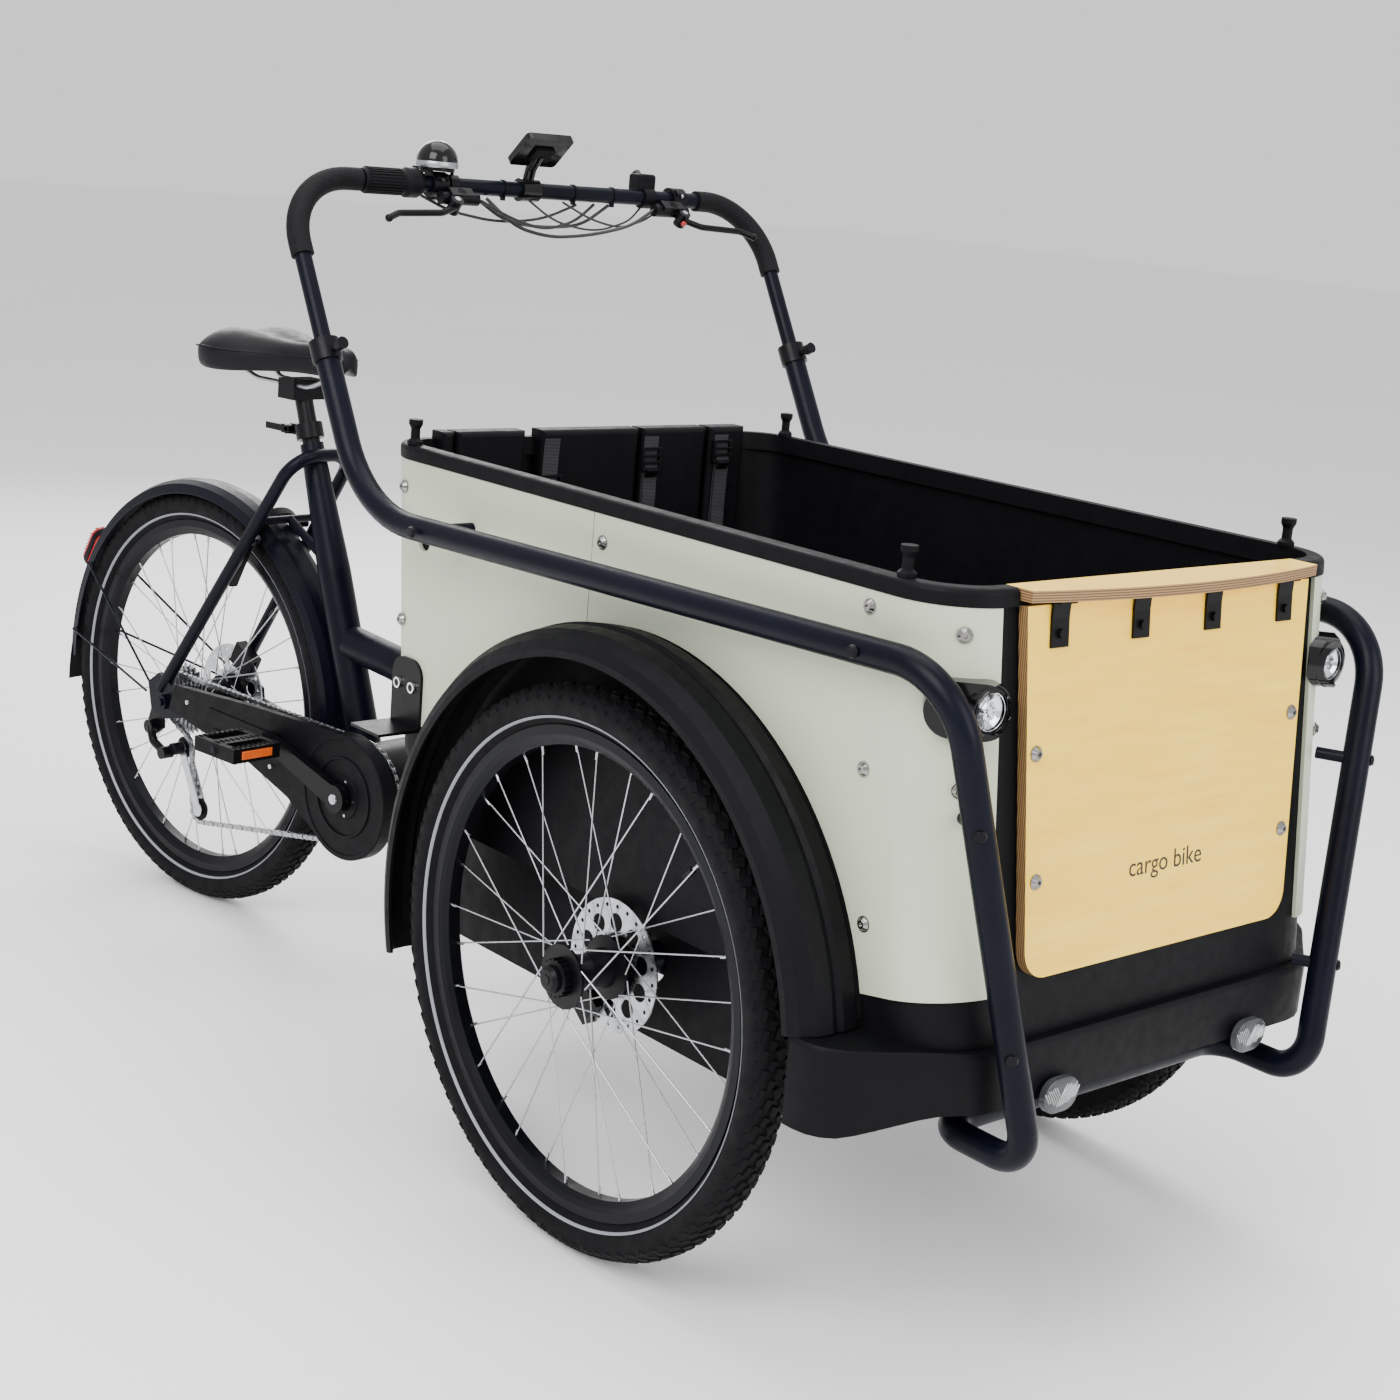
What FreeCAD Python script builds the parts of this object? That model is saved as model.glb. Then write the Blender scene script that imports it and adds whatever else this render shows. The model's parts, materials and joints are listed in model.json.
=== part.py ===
import FreeCAD, Part
import Sketcher
import math
import os
from FreeCAD import Placement, Rotation, Vector

# Front-box cargo tricycle.  Millimetres, +X ahead, +Y to the rider's left, +Z up.
# Every piece is drawn in the "bike frame", whose origin is on the ground under the front
# axle, with the rear end straight.  Pieces of the rear end are then turned about the
# steering pivot, and everything is moved so that the origin is under the middle of the bike.

os.makedirs("parts", exist_ok=True)
doc = FreeCAD.newDocument("cargo_bicycle")

# ------------------------------------------------------------------ driving dimensions

DIMENSIONS = [
    ("front_axle_x", 535, "front axle ahead of the origin"),
    ("wheelbase", 1300, "front axle to rear axle, straight ahead"),
    ("track_half", 385, "middle of the bike to the middle of a front tyre"),
    ("wheel_radius", 335, "outside radius of each 26 inch tyre"),
    ("tyre_width", 54, "section width of each tyre"),
    ("bead_radius", 279.5, "bead seat radius of a 26 inch rim"),
    ("pivot_x", 30, "steering pivot ahead of the front axle"),
    ("rest_steer", 7.5, "degrees that the rear end is turned at rest"),
    ("stub_radius", 10, "radius of the front stub axles"),
    ("rear_axle_radius", 6, "radius of the rear axle"),
    ("running_gap", 0.05, "radial clearance of a shaft in its bore"),
    ("box_half", 326, "half width of the moulded box"),
    ("box_floor_z", 395, "underside of the box floor"),
    ("rim_z", 868, "top of the rolled rim of the box"),
    ("rim_seat_z", 850, "underside of the rolled rim"),
    ("box_wall", 5, "wall of the moulded box"),
    ("panel_sheet", 5, "side panel sheet"),
    ("arch_radius", 394, "radius of the wheel arch where it meets the panel"),
    ("front_lean", 6, "degrees that the front panel leans back"),
    ("ply_sheet", 12, "plywood sheet"),
    ("ply_height", 386, "height of the front panel along its face"),
    ("ply_top_half", 237, "half width of the front panel at the top"),
    ("ply_bottom_half", 221, "half width of the front panel at the bottom"),
    ("rail_radius", 15.9, "radius of the bumper and upright tube"),
    ("bar_radius", 11.1, "radius of the handlebar tube"),
    ("tape_radius", 15, "outside radius of the grip tape"),
    ("collar_z", 975, "top end of each upright"),
    ("upright_half", 404, "half distance between the uprights"),
    ("bar_z", 1187, "height of the handlebar"),
    ("crank_length", 170, "bottom bracket to pedal axis"),
    ("bb_x", -838, "bottom bracket from the front axle"),
    ("bb_z", 295, "height of the bottom bracket"),
    ("crank_angle", 163, "degrees of the right crank, from ahead, upwards"),
    ("spindle_radius", 15, "radius of the crank spindle"),
    ("post_radius", 13.6, "radius of the seat post"),
    ("seat_tube_radius", 25, "radius of the lower seat tube"),
    ("spoke_count", 32, "spokes in each wheel"),
    ("spoke_radius", 1.0, "radius of each spoke"),
    ("rotor_radius", 80, "radius of each brake rotor"),
]

sheet = doc.addObject("Spreadsheet::Sheet", "dims")
for row, (alias, number, meaning) in enumerate(DIMENSIONS, start=1):
    sheet.set("A%d" % row, str(number))
    sheet.setAlias("A%d" % row, alias)
    sheet.set("B%d" % row, meaning)
doc.recompute()


def size(alias):
    return float(sheet.get(alias))


FRONT = Placement(Vector(size("front_axle_x"), 0, 0), Rotation())
REAR = Placement(
    Vector(size("front_axle_x") + size("pivot_x"), 0, 0), Rotation(Vector(0, 0, 1), size("rest_steer"))
).multiply(Placement(Vector(-size("pivot_x"), 0, 0), Rotation()))
AXLE_Z = size("wheel_radius")
RIGHT_HUB = Vector(0, -size("track_half"), AXLE_Z)
REAR_HUB = Vector(-size("wheelbase"), 0, AXLE_Z)
PIVOT_X = size("pivot_x")
BB = Vector(size("bb_x"), 0, size("bb_z"))
UP = Vector(0, 0, 1)
LEFT = Vector(0, 1, 0)
AHEAD = Vector(1, 0, 0)
NO_TURN = Rotation()
SKIN = 0.3          # gap left between faces of neighbouring pieces
sub_parts = []

# ------------------------------------------------------------------ shape helpers


def mirrored(point):
    return Vector(point.x, -point.y, point.z)


def both_sides(shape):
    return [shape, shape.mirror(Vector(0, 0, 0), LEFT)]


def fused(shapes):
    joined = shapes[0].multiFuse(shapes[1:]) if len(shapes) > 1 else shapes[0]
    return joined.removeSplitter()


def unit(vector):
    return Vector(vector).normalize()


def bent_wire(points, radii):
    """Straight runs through the points, joined by tangent arcs of the given radii."""
    edges = []
    start = points[0]
    for before, corner, after, radius in zip(points, points[1:], points[2:], radii):
        back = unit(before - corner)
        ahead = unit(after - corner)
        half_angle = back.getAngle(ahead) / 2
        reach = radius / math.tan(half_angle)
        enter = corner + back * reach
        leave = corner + ahead * reach
        middle_ray = unit(back + ahead)
        middle = corner + middle_ray * (radius / math.sin(half_angle) - radius)
        edges.append(Part.LineSegment(start, enter).toShape())
        edges.append(Part.Arc(enter, middle, leave).toShape())
        start = leave
    edges.append(Part.LineSegment(start, points[-1]).toShape())
    return Part.Wire(edges)


def pipe(points, radii, radius):
    """A solid round bar along a bent wire."""
    wire = bent_wire(points, radii)
    ring = Part.Wire(Part.makeCircle(radius, points[0], points[1] - points[0]))
    solid = wire.makePipeShell([ring], True, True)
    if solid.Volume < 0:
        solid.reverse()
    return solid


def hollow_pipe(points, radii, radius, bore):
    return pipe(points, radii, radius).cut(pipe(points, radii, bore))


def rod(start, end, radius):
    return Part.makeCylinder(radius, (end - start).Length, start, end - start)


def block(low, high):
    return Part.makeBox(high.x - low.x, high.y - low.y, high.z - low.z, low)


def side_plate(outline, y_low, y_high):
    """A flat plate: an outline of (x, z) points, thick along Y."""
    corners = [Vector(x, y_low, z) for x, z in outline]
    face = Part.Face(Part.makePolygon(corners + corners[:1]))
    return face.extrude(Vector(0, y_high - y_low, 0))


def racetrack(length, width, depth):
    """An oblong with round ends, long along Y, upright, thick along +X from the origin."""
    end = width / 2
    run = length / 2 - end
    lines = [
        Part.LineSegment(Vector(0, -run, -end), Vector(0, run, -end)).toShape(),
        Part.Arc(Vector(0, run, -end), Vector(0, run + end, 0), Vector(0, run, end)).toShape(),
        Part.LineSegment(Vector(0, run, end), Vector(0, -run, end)).toShape(),
        Part.Arc(Vector(0, -run, end), Vector(0, -run - end, 0), Vector(0, -run, -end)).toShape(),
    ]
    return Part.Face(Part.Wire(lines)).extrude(Vector(depth, 0, 0))


def placed(shape, base, rotation=NO_TURN):
    moved = shape.copy()
    moved.Placement = Placement(base, rotation).multiply(shape.Placement)
    return moved


def belt_face(wheels):
    """The area inside a loop that runs round the wheels: (x, z, radius, sense) in travel order."""
    count = len(wheels)
    leaves = []
    enters = [None] * count
    for index, (x1, z1, r1, s1) in enumerate(wheels):
        x2, z2, r2, s2 = wheels[(index + 1) % count]
        between = Vector(x2 - x1, 0, z2 - z1)
        shift = s2 * r2 - s1 * r1
        reach = math.sqrt(between.Length ** 2 - shift ** 2)
        angle = math.atan2(between.z, between.x) - math.atan2(shift, reach)
        left = Vector(-math.sin(angle), 0, math.cos(angle))
        leaves.append(Vector(x1, 0, z1) - left * (s1 * r1))
        enters[(index + 1) % count] = Vector(x2, 0, z2) - left * (s2 * r2)
    edges = []
    for index, (x, z, radius, sense) in enumerate(wheels):
        enter = enters[index]
        leave = leaves[index]
        first = math.atan2(enter.z - z, enter.x - x)
        last = math.atan2(leave.z - z, leave.x - x)
        turn = ((last - first) * sense) % (2 * math.pi)
        halfway = first + sense * turn / 2
        middle = Vector(x + radius * math.cos(halfway), 0, z + radius * math.sin(halfway))
        edges.append(Part.Arc(enter, middle, leave).toShape())
        edges.append(Part.LineSegment(leave, enters[(index + 1) % count]).toShape())
    return Part.Face(Part.Wire(edges))


# ------------------------------------------------------------------ document helpers


def add_shape(label, shapes, placement):
    """A sub-part whose shape is made directly; several solids share one label as a group."""
    feature = doc.addObject("Part::Feature", label)
    feature.Label = label
    shape = Part.makeCompound(shapes) if isinstance(shapes, list) else shapes
    feature.Shape = shape
    feature.Placement = placement.multiply(shape.Placement)
    sub_parts.append(feature)
    return feature


def new_body(label, placement):
    body = doc.addObject("PartDesign::Body", label)
    body.Label = label
    body.Placement = placement
    sub_parts.append(body)
    return body


def new_sketch(body, name, role, offset=0):
    sketch = body.newObject("Sketcher::SketchObject", name)
    plane = [item for item in body.Origin.OriginFeatures if item.Role == role][0]
    sketch.AttachmentSupport = [(plane, "")]
    sketch.MapMode = "FlatFace"
    sketch.AttachmentOffset = Placement(Vector(0, 0, offset), NO_TURN)
    return sketch


def pin_point(sketch, geometry, end, across, upward):
    """Holds a point of the sketch at two expressions of the sheet."""
    for kind, expression in (("DistanceX", across), ("DistanceY", upward)):
        value = float(sheet.evalExpression(str(expression)))
        index = sketch.addConstraint(Sketcher.Constraint(kind, -1, 1, geometry, end, value))
        sketch.setExpression("Constraints[%d]" % index, str(expression))


def draw_outline(sketch, points):
    """A closed outline of straight lines through (across, upward) expressions."""
    values = []
    for across, upward in points:
        across_value = float(sheet.evalExpression(str(across)))
        upward_value = float(sheet.evalExpression(str(upward)))
        values.append(Vector(across_value, upward_value, 0))
    first = sketch.GeometryCount
    count = len(values)
    for index in range(count):
        sketch.addGeometry(Part.LineSegment(values[index], values[(index + 1) % count]))
    for index in range(count):
        following = first + (index + 1) % count
        sketch.addConstraint(Sketcher.Constraint("Coincident", first + index, 2, following, 1))
    for index, (across, upward) in enumerate(points):
        pin_point(sketch, first + index, 1, across, upward)


def draw_circle(sketch, across, upward, radius):
    centre = Vector(float(sheet.evalExpression(str(across))), float(sheet.evalExpression(str(upward))), 0)
    value = float(sheet.evalExpression(str(radius)))
    circle = sketch.addGeometry(Part.Circle(centre, Vector(0, 0, 1), value))
    pin_point(sketch, circle, 3, across, upward)
    index = sketch.addConstraint(Sketcher.Constraint("Radius", circle, value))
    sketch.setExpression("Constraints[%d]" % index, str(radius))


def add_revolution(body, name, points):
    """A ring or shell turned about the body's Y axis from (radius, y) expressions."""
    sketch = new_sketch(body, name + "_outline", "XY_Plane")
    draw_outline(sketch, points)
    turned = body.newObject("PartDesign::Revolution", name)
    turned.Profile = sketch
    turned.ReferenceAxis = (sketch, ["V_Axis"])
    turned.Angle = 360
    return turned


def add_pad(body, name, sketch, length, midplane=False, backwards=False):
    pad = body.newObject("PartDesign::Pad", name)
    pad.Profile = sketch
    pad.setExpression("Length", str(length))
    pad.Midplane = midplane
    pad.Reversed = backwards
    return pad


def add_through_pocket(body, name, sketch):
    """A pocket right through the body, checked to have removed something."""
    doc.recompute()
    before = body.Shape.Volume
    pocket = body.newObject("PartDesign::Pocket", name)
    pocket.Profile = sketch
    pocket.Type = "ThroughAll"
    pocket.Midplane = True
    doc.recompute()
    if body.Shape.Volume >= before:
        raise RuntimeError(name + " removed nothing")
    return pocket


def add_polar_pattern(body, name, feature, axis_role, count):
    pattern = body.newObject("PartDesign::PolarPattern", name)
    pattern.Originals = [feature]
    axis = [item for item in body.Origin.OriginFeatures if item.Role == axis_role][0]
    pattern.Axis = (axis, [""])
    pattern.Angle = 360
    pattern.Occurrences = count
    body.Tip = pattern
    return pattern


def fillet_edges(body, name, radius, wanted):
    """Rounds the edges of the body so far whose middle points pass the test."""
    doc.recompute()
    tip = body.Tip
    names = []
    for index, edge in enumerate(tip.Shape.Edges, start=1):
        middle = edge.valueAt((edge.FirstParameter + edge.LastParameter) / 2)
        if wanted(edge, middle):
            names.append("Edge%d" % index)
    fillet = body.newObject("PartDesign::Fillet", name)
    fillet.Base = (tip, names)
    fillet.Radius = radius
    return fillet




# ------------------------------------------------------------------ wheels


def add_tyre(label, placement):
    body = new_body(label, placement)
    width = "dims.tyre_width / 2"
    outer = [
        ("dims.bead_radius + 0.5", 12.6),
        ("dims.bead_radius + 9", 12.6),
        ("dims.bead_radius + 12.5", 18),
        ("dims.bead_radius + 20", width + " - 2"),
        ("dims.bead_radius + 30", width),
        ("dims.wheel_radius - 13", width + " - 1.5"),
        ("dims.wheel_radius - 4", width + " - 9"),
        ("dims.wheel_radius", width + " - 19"),
    ]
    inner = [
        ("dims.wheel_radius - 5", 0),
        ("dims.wheel_radius - 8", 10),
        ("dims.wheel_radius - 16", 20),
        ("dims.bead_radius + 29", 22.5),
        ("dims.bead_radius + 17", 18),
        ("dims.bead_radius + 10", 9),
        ("dims.bead_radius + 0.5", 8.5),
    ]
    far_outer = [(radius, "-(%s)" % across) for radius, across in reversed(outer)]
    near_inner = inner
    far_inner = [(radius, "-(%s)" % across) for radius, across in reversed(inner[1:])]
    add_revolution(body, "casing", outer + far_outer + far_inner + near_inner)


def add_rim(label, placement):
    body = new_body(label, placement)
    half = [
        ("dims.bead_radius - 15.5", 8),
        ("dims.bead_radius - 9", 13),
        ("dims.bead_radius - 3", 15.5),
        ("dims.bead_radius + 8", 15.5),
        ("dims.bead_radius + 8", 13),
        ("dims.bead_radius", 13),
        ("dims.bead_radius - 3", 8),
    ]
    far = [(radius, -across) for radius, across in reversed(half)]
    add_revolution(body, "hoop", half + far)


def add_hub(label, placement, profile):
    """A hub shell with its brake rotor bolted on: profile is the outside, as (radius, y)."""
    body = new_body(label, placement)
    add_revolution(body, "shell", profile)
    windows = new_sketch(body, "window_outline", "XZ_Plane")
    draw_circle(windows, 0, "dims.rotor_radius - 27", 11)
    window = add_through_pocket(body, "window", windows)
    add_polar_pattern(body, "windows", window, "Y_Axis", 10)
    doc.recompute()
    drill = new_sketch(body, "drill_outline", "XZ_Plane")
    draw_circle(drill, 0, "dims.rotor_radius - 8", 2.6)
    hole = add_through_pocket(body, "drilling", drill)
    add_polar_pattern(body, "drillings", hole, "Y_Axis", 24)


def front_hub_profile():
    """Outboard is -Y: end cap, two flanges, then the rotor on the inboard side."""
    bore = "dims.stub_radius + dims.running_gap"
    return [
        (0, -55), (12, -55), (16, -51), (16, -36), (21, -33.5), (38, -33.5), (38, -30), (24, -27),
        (21, 0), (24, 27), (38, 30), (38, 33.5), (30, 36), (30, 41.5),
        ("dims.rotor_radius", 41.5), ("dims.rotor_radius", 43.5), (22, 43.5), (22, 48),
        (bore, 48), (bore, -53), (0, -53),
    ]


def rear_hub_profile():
    """The cassette's driver is on the right, -Y, and the rotor on the left."""
    bore = "dims.rear_axle_radius + dims.running_gap"
    return [
        (bore, -64), (16.9, -64), (16.9, -33), (22, -32), (30, -31.5), (30, -28), (18, -25),
        (16, 0), (18, 25), (30, 28), (30, 31.5), (24, 33), (24, 48), (30, 48.5), (30, 50),
        ("dims.rotor_radius", 50), ("dims.rotor_radius", 52), (16, 52), (16, 64), (bore, 64),
    ]


def spoke_set(flange_radius, flange_y):
    """Crossed spokes from both flanges to the rim, one straight wire each."""
    count = int(size("spoke_count"))
    rim_radius = size("bead_radius") - 15.8
    rim_y = 5
    wrap = math.radians(62)
    clear = flange_radius + 0.5
    hole_radius = flange_radius - 3.5
    spokes = []
    for index in range(count):
        side = 1 if index % 2 else -1
        lead = 1 if (index // 2) % 2 else -1
        rim_angle = 2 * math.pi * index / count
        hub_angle = rim_angle + lead * wrap
        y_offset = side * (flange_y + lead * 1.7)
        hole = Vector(hole_radius * math.cos(hub_angle), y_offset, hole_radius * math.sin(hub_angle))
        nipple = Vector(rim_radius * math.cos(rim_angle), side * rim_y, rim_radius * math.sin(rim_angle))
        along = nipple - hole
        flat_a = along.x ** 2 + along.z ** 2
        flat_b = 2 * (hole.x * along.x + hole.z * along.z)
        flat_c = hole_radius ** 2 - clear ** 2
        share = (-flat_b + math.sqrt(flat_b ** 2 - 4 * flat_a * flat_c)) / (2 * flat_a)
        spokes.append(rod(hole + along * share, nipple, size("spoke_radius")))
    return spokes


def add_wheel(prefix, placement, profile, flange_radius, flange_y):
    add_tyre(prefix + "_tyre", placement)
    add_rim(prefix + "_rim", placement)
    add_hub(prefix + "_hub", placement, profile)
    add_shape(prefix + "_spokes", spoke_set(flange_radius, flange_y), placement)


add_wheel(
    "front_right", FRONT.multiply(Placement(RIGHT_HUB, NO_TURN)), front_hub_profile(), 38, 31.75
)
add_wheel(
    "front_left",
    FRONT.multiply(Placement(mirrored(RIGHT_HUB), Rotation(UP, 180))),
    front_hub_profile(), 38, 31.75,
)
add_wheel("rear", REAR.multiply(Placement(REAR_HUB, NO_TURN)), rear_hub_profile(), 30, 29.75)

# ------------------------------------------------------------------ rear frame

SEAT_TUBE_TOP = Vector(-1056, 0, 783)
SEAT_TUBE_FOOT = Vector(-886, 0, 310)
SEAT_AXIS = unit(SEAT_TUBE_TOP - SEAT_TUBE_FOOT)


def seat_axis_point(height):
    """The point of the seat tube's axis at a height."""
    return SEAT_TUBE_TOP + SEAT_AXIS * ((height - SEAT_TUBE_TOP.z) / SEAT_AXIS.z)


HEAD_TOP_Z = 292
HEAD_FOOT_Z = 216
HEAD_RADIUS = 27
HEAD_PIN_RADIUS = 14
STAY_RADIUS = 10
DROPOUT_Y = 74
MOTOR_RADIUS = 72
CRANK_Y = 101
CHAIN_Y = -50


def build_main_frame():
    waist = seat_axis_point(600)
    lower_tube = rod(SEAT_TUBE_FOOT, waist, size("seat_tube_radius"))
    upper_length = (SEAT_TUBE_TOP - waist).Length
    upper_tube = Part.makeCone(size("seat_tube_radius"), 17.5, upper_length, waist, SEAT_AXIS)
    main_points = [
        Vector(-938, 0, 498), Vector(-800, 0, 484), Vector(-480, 0, 254), Vector(PIVOT_X - 8, 0, 254),
    ]
    main_tube = pipe(main_points, [160, 200], 26)
    head = rod(Vector(PIVOT_X, 0, HEAD_FOOT_Z), Vector(PIVOT_X, 0, HEAD_TOP_Z), HEAD_RADIUS)
    stay_points = [Vector(-1318, -DROPOUT_Y, 352), Vector(-1024, -56, 770)]
    stay_points += [mirrored(point) for point in reversed(stay_points)]
    seat_stays = pipe(stay_points, [45, 45], STAY_RADIUS)
    chain_stay_points = [Vector(-872, -31, 300), Vector(-938, -38, 304), Vector(-1268, 4 - DROPOUT_Y, 331)]
    chain_stays = both_sides(pipe(chain_stay_points, [120], 8))
    bridge_middle = Vector(-1101, 0, 660)
    bridge = rod(seat_axis_point(600), bridge_middle, 7)
    bridge_bar = rod(bridge_middle - LEFT * 62, bridge_middle + LEFT * 62, 6)
    plate_outline = [(-1350, 358), (-1322, 378), (-1250, 350), (-1245, 320), (-1305, 305), (-1340, 315)]
    caliper_tab = side_plate([(-1326, 352), (-1290, 412), (-1266, 402), (-1304, 354)], 61.5, 71)
    dropouts = both_sides(side_plate(plate_outline, -DROPOUT_Y - 4, -DROPOUT_Y + 4))
    axle = rod(REAR_HUB - LEFT * 92, REAR_HUB + LEFT * 92, size("rear_axle_radius"))
    nuts = both_sides(rod(REAR_HUB - LEFT * 88, REAR_HUB - LEFT * (DROPOUT_Y + 4), 12))
    washers = both_sides(rod(REAR_HUB - LEFT * (DROPOUT_Y - 4), REAR_HUB - LEFT * 66, 10))
    solids = [lower_tube, upper_tube, main_tube, head, seat_stays, bridge, bridge_bar, axle, caliper_tab]
    frame = fused(solids + chain_stays + dropouts + nuts + washers)
    post_bore = rod(seat_axis_point(400), seat_axis_point(800), size("post_radius") + size("running_gap"))
    motor_room = rod(BB - LEFT * 46, BB + LEFT * 46, MOTOR_RADIUS + SKIN)
    pin_bore = rod(
        Vector(PIVOT_X, 0, 100), Vector(PIVOT_X, 0, 350), HEAD_PIN_RADIUS + size("running_gap")
    )
    return frame.cut([post_bore, motor_room, pin_bore])


add_shape("main_frame", build_main_frame(), REAR)

# Seat clamp and its lever, round the top of the seat tube.
CLAMP_LOW = 790
CLAMP_HIGH = 812


LEVER_PIN_RADIUS = 2


def lever_pin(height):
    """The upright pin at the end of the clamp's bolt, which the lever flips about."""
    middle = (seat_axis_point(CLAMP_LOW) + seat_axis_point(CLAMP_HIGH)) * 0.5
    return middle + Vector(-30, -16.5, height)


def build_seat_clamp():
    low = seat_axis_point(CLAMP_LOW)
    high = seat_axis_point(CLAMP_HIGH)
    ring = rod(low, high, 21)
    bore = rod(seat_axis_point(770), seat_axis_point(830), size("post_radius") + 0.08)
    middle = (low + high) * 0.5
    lug = block(middle + Vector(-36, -9, -8), middle + Vector(-17, 9, 8))
    bolt_axis = middle + Vector(-30, 0, 0)
    bolt = rod(bolt_axis - LEFT * 16.5, bolt_axis + LEFT * 9, 3)
    pin = rod(lever_pin(-7), lever_pin(7), LEVER_PIN_RADIUS)
    return fused([ring, lug, bolt, pin]).cut(bore)


def build_clamp_lever():
    pin = lever_pin(0)
    cam = rod(lever_pin(-6.5), lever_pin(6.5), 6)
    neck = block(pin + Vector(-14, -3, -6.5), pin + Vector(0, 3, 6.5))
    blade = block(pin + Vector(-52, -3, -5), pin + Vector(-12, 3, 5))
    bolt_room = rod(lever_pin(-3.3), lever_pin(3.3), 7.5)
    pin_hole = rod(lever_pin(-9), lever_pin(9), LEVER_PIN_RADIUS + size("running_gap"))
    return fused([cam, neck, blade]).cut([bolt_room, pin_hole])


add_shape("seat_clamp", build_seat_clamp(), REAR)
add_shape("seat_clamp_lever", build_clamp_lever(), REAR)

# Seat post, saddle rails and saddle.
RAIL_Z = 870
SADDLE_X = -1100


def build_seat_post():
    post = rod(seat_axis_point(545), seat_axis_point(858), size("post_radius"))
    head = block(Vector(SADDLE_X - 4, -30, 848), Vector(SADDLE_X + 34, 30, RAIL_Z - 4))
    cap = block(Vector(SADDLE_X - 4, -30, RAIL_Z - 4), Vector(SADDLE_X + 34, 30, RAIL_Z + 8))
    rails = [rod(Vector(-1200, y, RAIL_Z), Vector(-1000, y, RAIL_Z), 3.7) for y in (-22, 22)]
    return fused([post, head, cap]).cut(rails)


def build_saddle_rails():
    route = [Vector(-1210, -34, 889), Vector(-1165, -22, RAIL_Z), Vector(-1040, -22, RAIL_Z),
             Vector(-1002, -9, 890)]
    return both_sides(pipe(route, [40, 40], 3.5))


def build_saddle():
    sections = [(-1242, 62, 8, 915), (-1225, 98, 19, 916), (-1185, 104, 22, 915), (-1135, 78, 22, 914),
                (-1085, 42, 21, 915), (-1030, 27, 19, 915), (-985, 20, 15, 911), (-972, 10, 7, 908)]
    rings = []
    for x, half_width, half_height, z in sections:
        ellipse = Part.Ellipse(Vector(0, 0, 0), half_width, half_height).toShape()
        ellipse.Placement = Placement(Vector(x, 0, z), Rotation(LEFT, UP, AHEAD, "ZXY"))
        rings.append(Part.Wire(ellipse))
    return Part.makeLoft(rings, True, False)


add_shape("seat_post", build_seat_post(), REAR)
add_shape("saddle_rails", build_saddle_rails(), REAR)
add_shape("saddle", build_saddle(), REAR)

# Drive: motor, crankset, guard, chain, cassette, derailleur.
CHAINRING_RADIUS = 75
SPROCKET_RADIUS = 38
JOCKEY_RADIUS = 17.5
CHAIN_HALF = 3
UPPER_JOCKEY = Vector(-1286, CHAIN_Y, 258)
LOWER_JOCKEY = Vector(-1238, CHAIN_Y, 166)

motor = doc.addObject("Part::Cylinder", "motor_case")
motor.Radius = MOTOR_RADIUS
motor.Height = 84
motor.Placement = Placement(BB + LEFT * 42, Rotation(AHEAD, 90))
motor_bore = doc.addObject("Part::Cylinder", "motor_bore")
motor_bore.setExpression("Radius", "dims.spindle_radius + dims.running_gap")
motor_bore.Height = 100
motor_bore.Placement = Placement(BB + LEFT * 50, Rotation(AHEAD, 90))
motor_unit = doc.addObject("Part::Cut", "motor_unit")
motor_unit.Label = "motor_unit"
motor_unit.Base = motor
motor_unit.Tool = motor_bore
motor_unit.Placement = REAR
sub_parts.append(motor_unit)


def crank_end(side):
    """Pedal axis in the side view: side 1 is the right crank, -1 the left one."""
    angle = math.radians(size("crank_angle"))
    reach = size("crank_length") * side
    return Vector(BB.x + reach * math.cos(angle), 0, BB.z + reach * math.sin(angle))


def crank_arm(side):
    """One tapered arm with its pedal spindle, on the right (side 1) or left (side -1)."""
    end = crank_end(side)
    outward = LEFT * -side
    inner = outward * (CRANK_Y - 7)
    boss = Part.makeCylinder(21, 14, BB + inner, outward)
    eye = Part.makeCylinder(14, 14, end + inner, outward)
    along = unit(end - BB)
    across = Vector(-along.z, 0, along.x)
    corners = [BB + across * 17, end + across * 12, end - across * 12, BB - across * 17]
    corners = [corner + inner + outward * 1 for corner in corners]
    web = Part.Face(Part.makePolygon(corners + corners[:1])).extrude(outward * 12)
    spindle = Part.makeCylinder(4.5, 108, end + inner + outward * 4, outward)
    return [boss, eye, web, spindle]


def build_crankset():
    spindle = rod(BB - LEFT * CRANK_Y, BB + LEFT * CRANK_Y, size("spindle_radius"))
    ring_start = BB + LEFT * (CHAIN_Y - 1)
    ring = Part.makeCylinder(CHAINRING_RADIUS, 2, ring_start, LEFT)
    spider = Part.makeCylinder(30, 8, BB + LEFT * (CHAIN_Y - 4), LEFT)
    return fused([spindle, ring, spider] + crank_arm(1) + crank_arm(-1))


def build_pedal(side):
    end = crank_end(side)
    middle = end + LEFT * (-side * 161)
    body = block(middle - Vector(48, 42, 11), middle + Vector(48, 42, 11))
    bore = rod(middle - LEFT * 60, middle + LEFT * 60, 4.5 + size("running_gap"))
    slots = []
    for shift in (-27, 27):
        slots.append(block(middle + Vector(shift - 13, -32, -20), middle + Vector(shift + 13, 32, 20)))
    return body.cut([bore] + slots)


add_shape("crankset", build_crankset(), REAR)
add_shape("pedal_right", build_pedal(1), REAR)
add_shape("pedal_left", build_pedal(-1), REAR)


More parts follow.
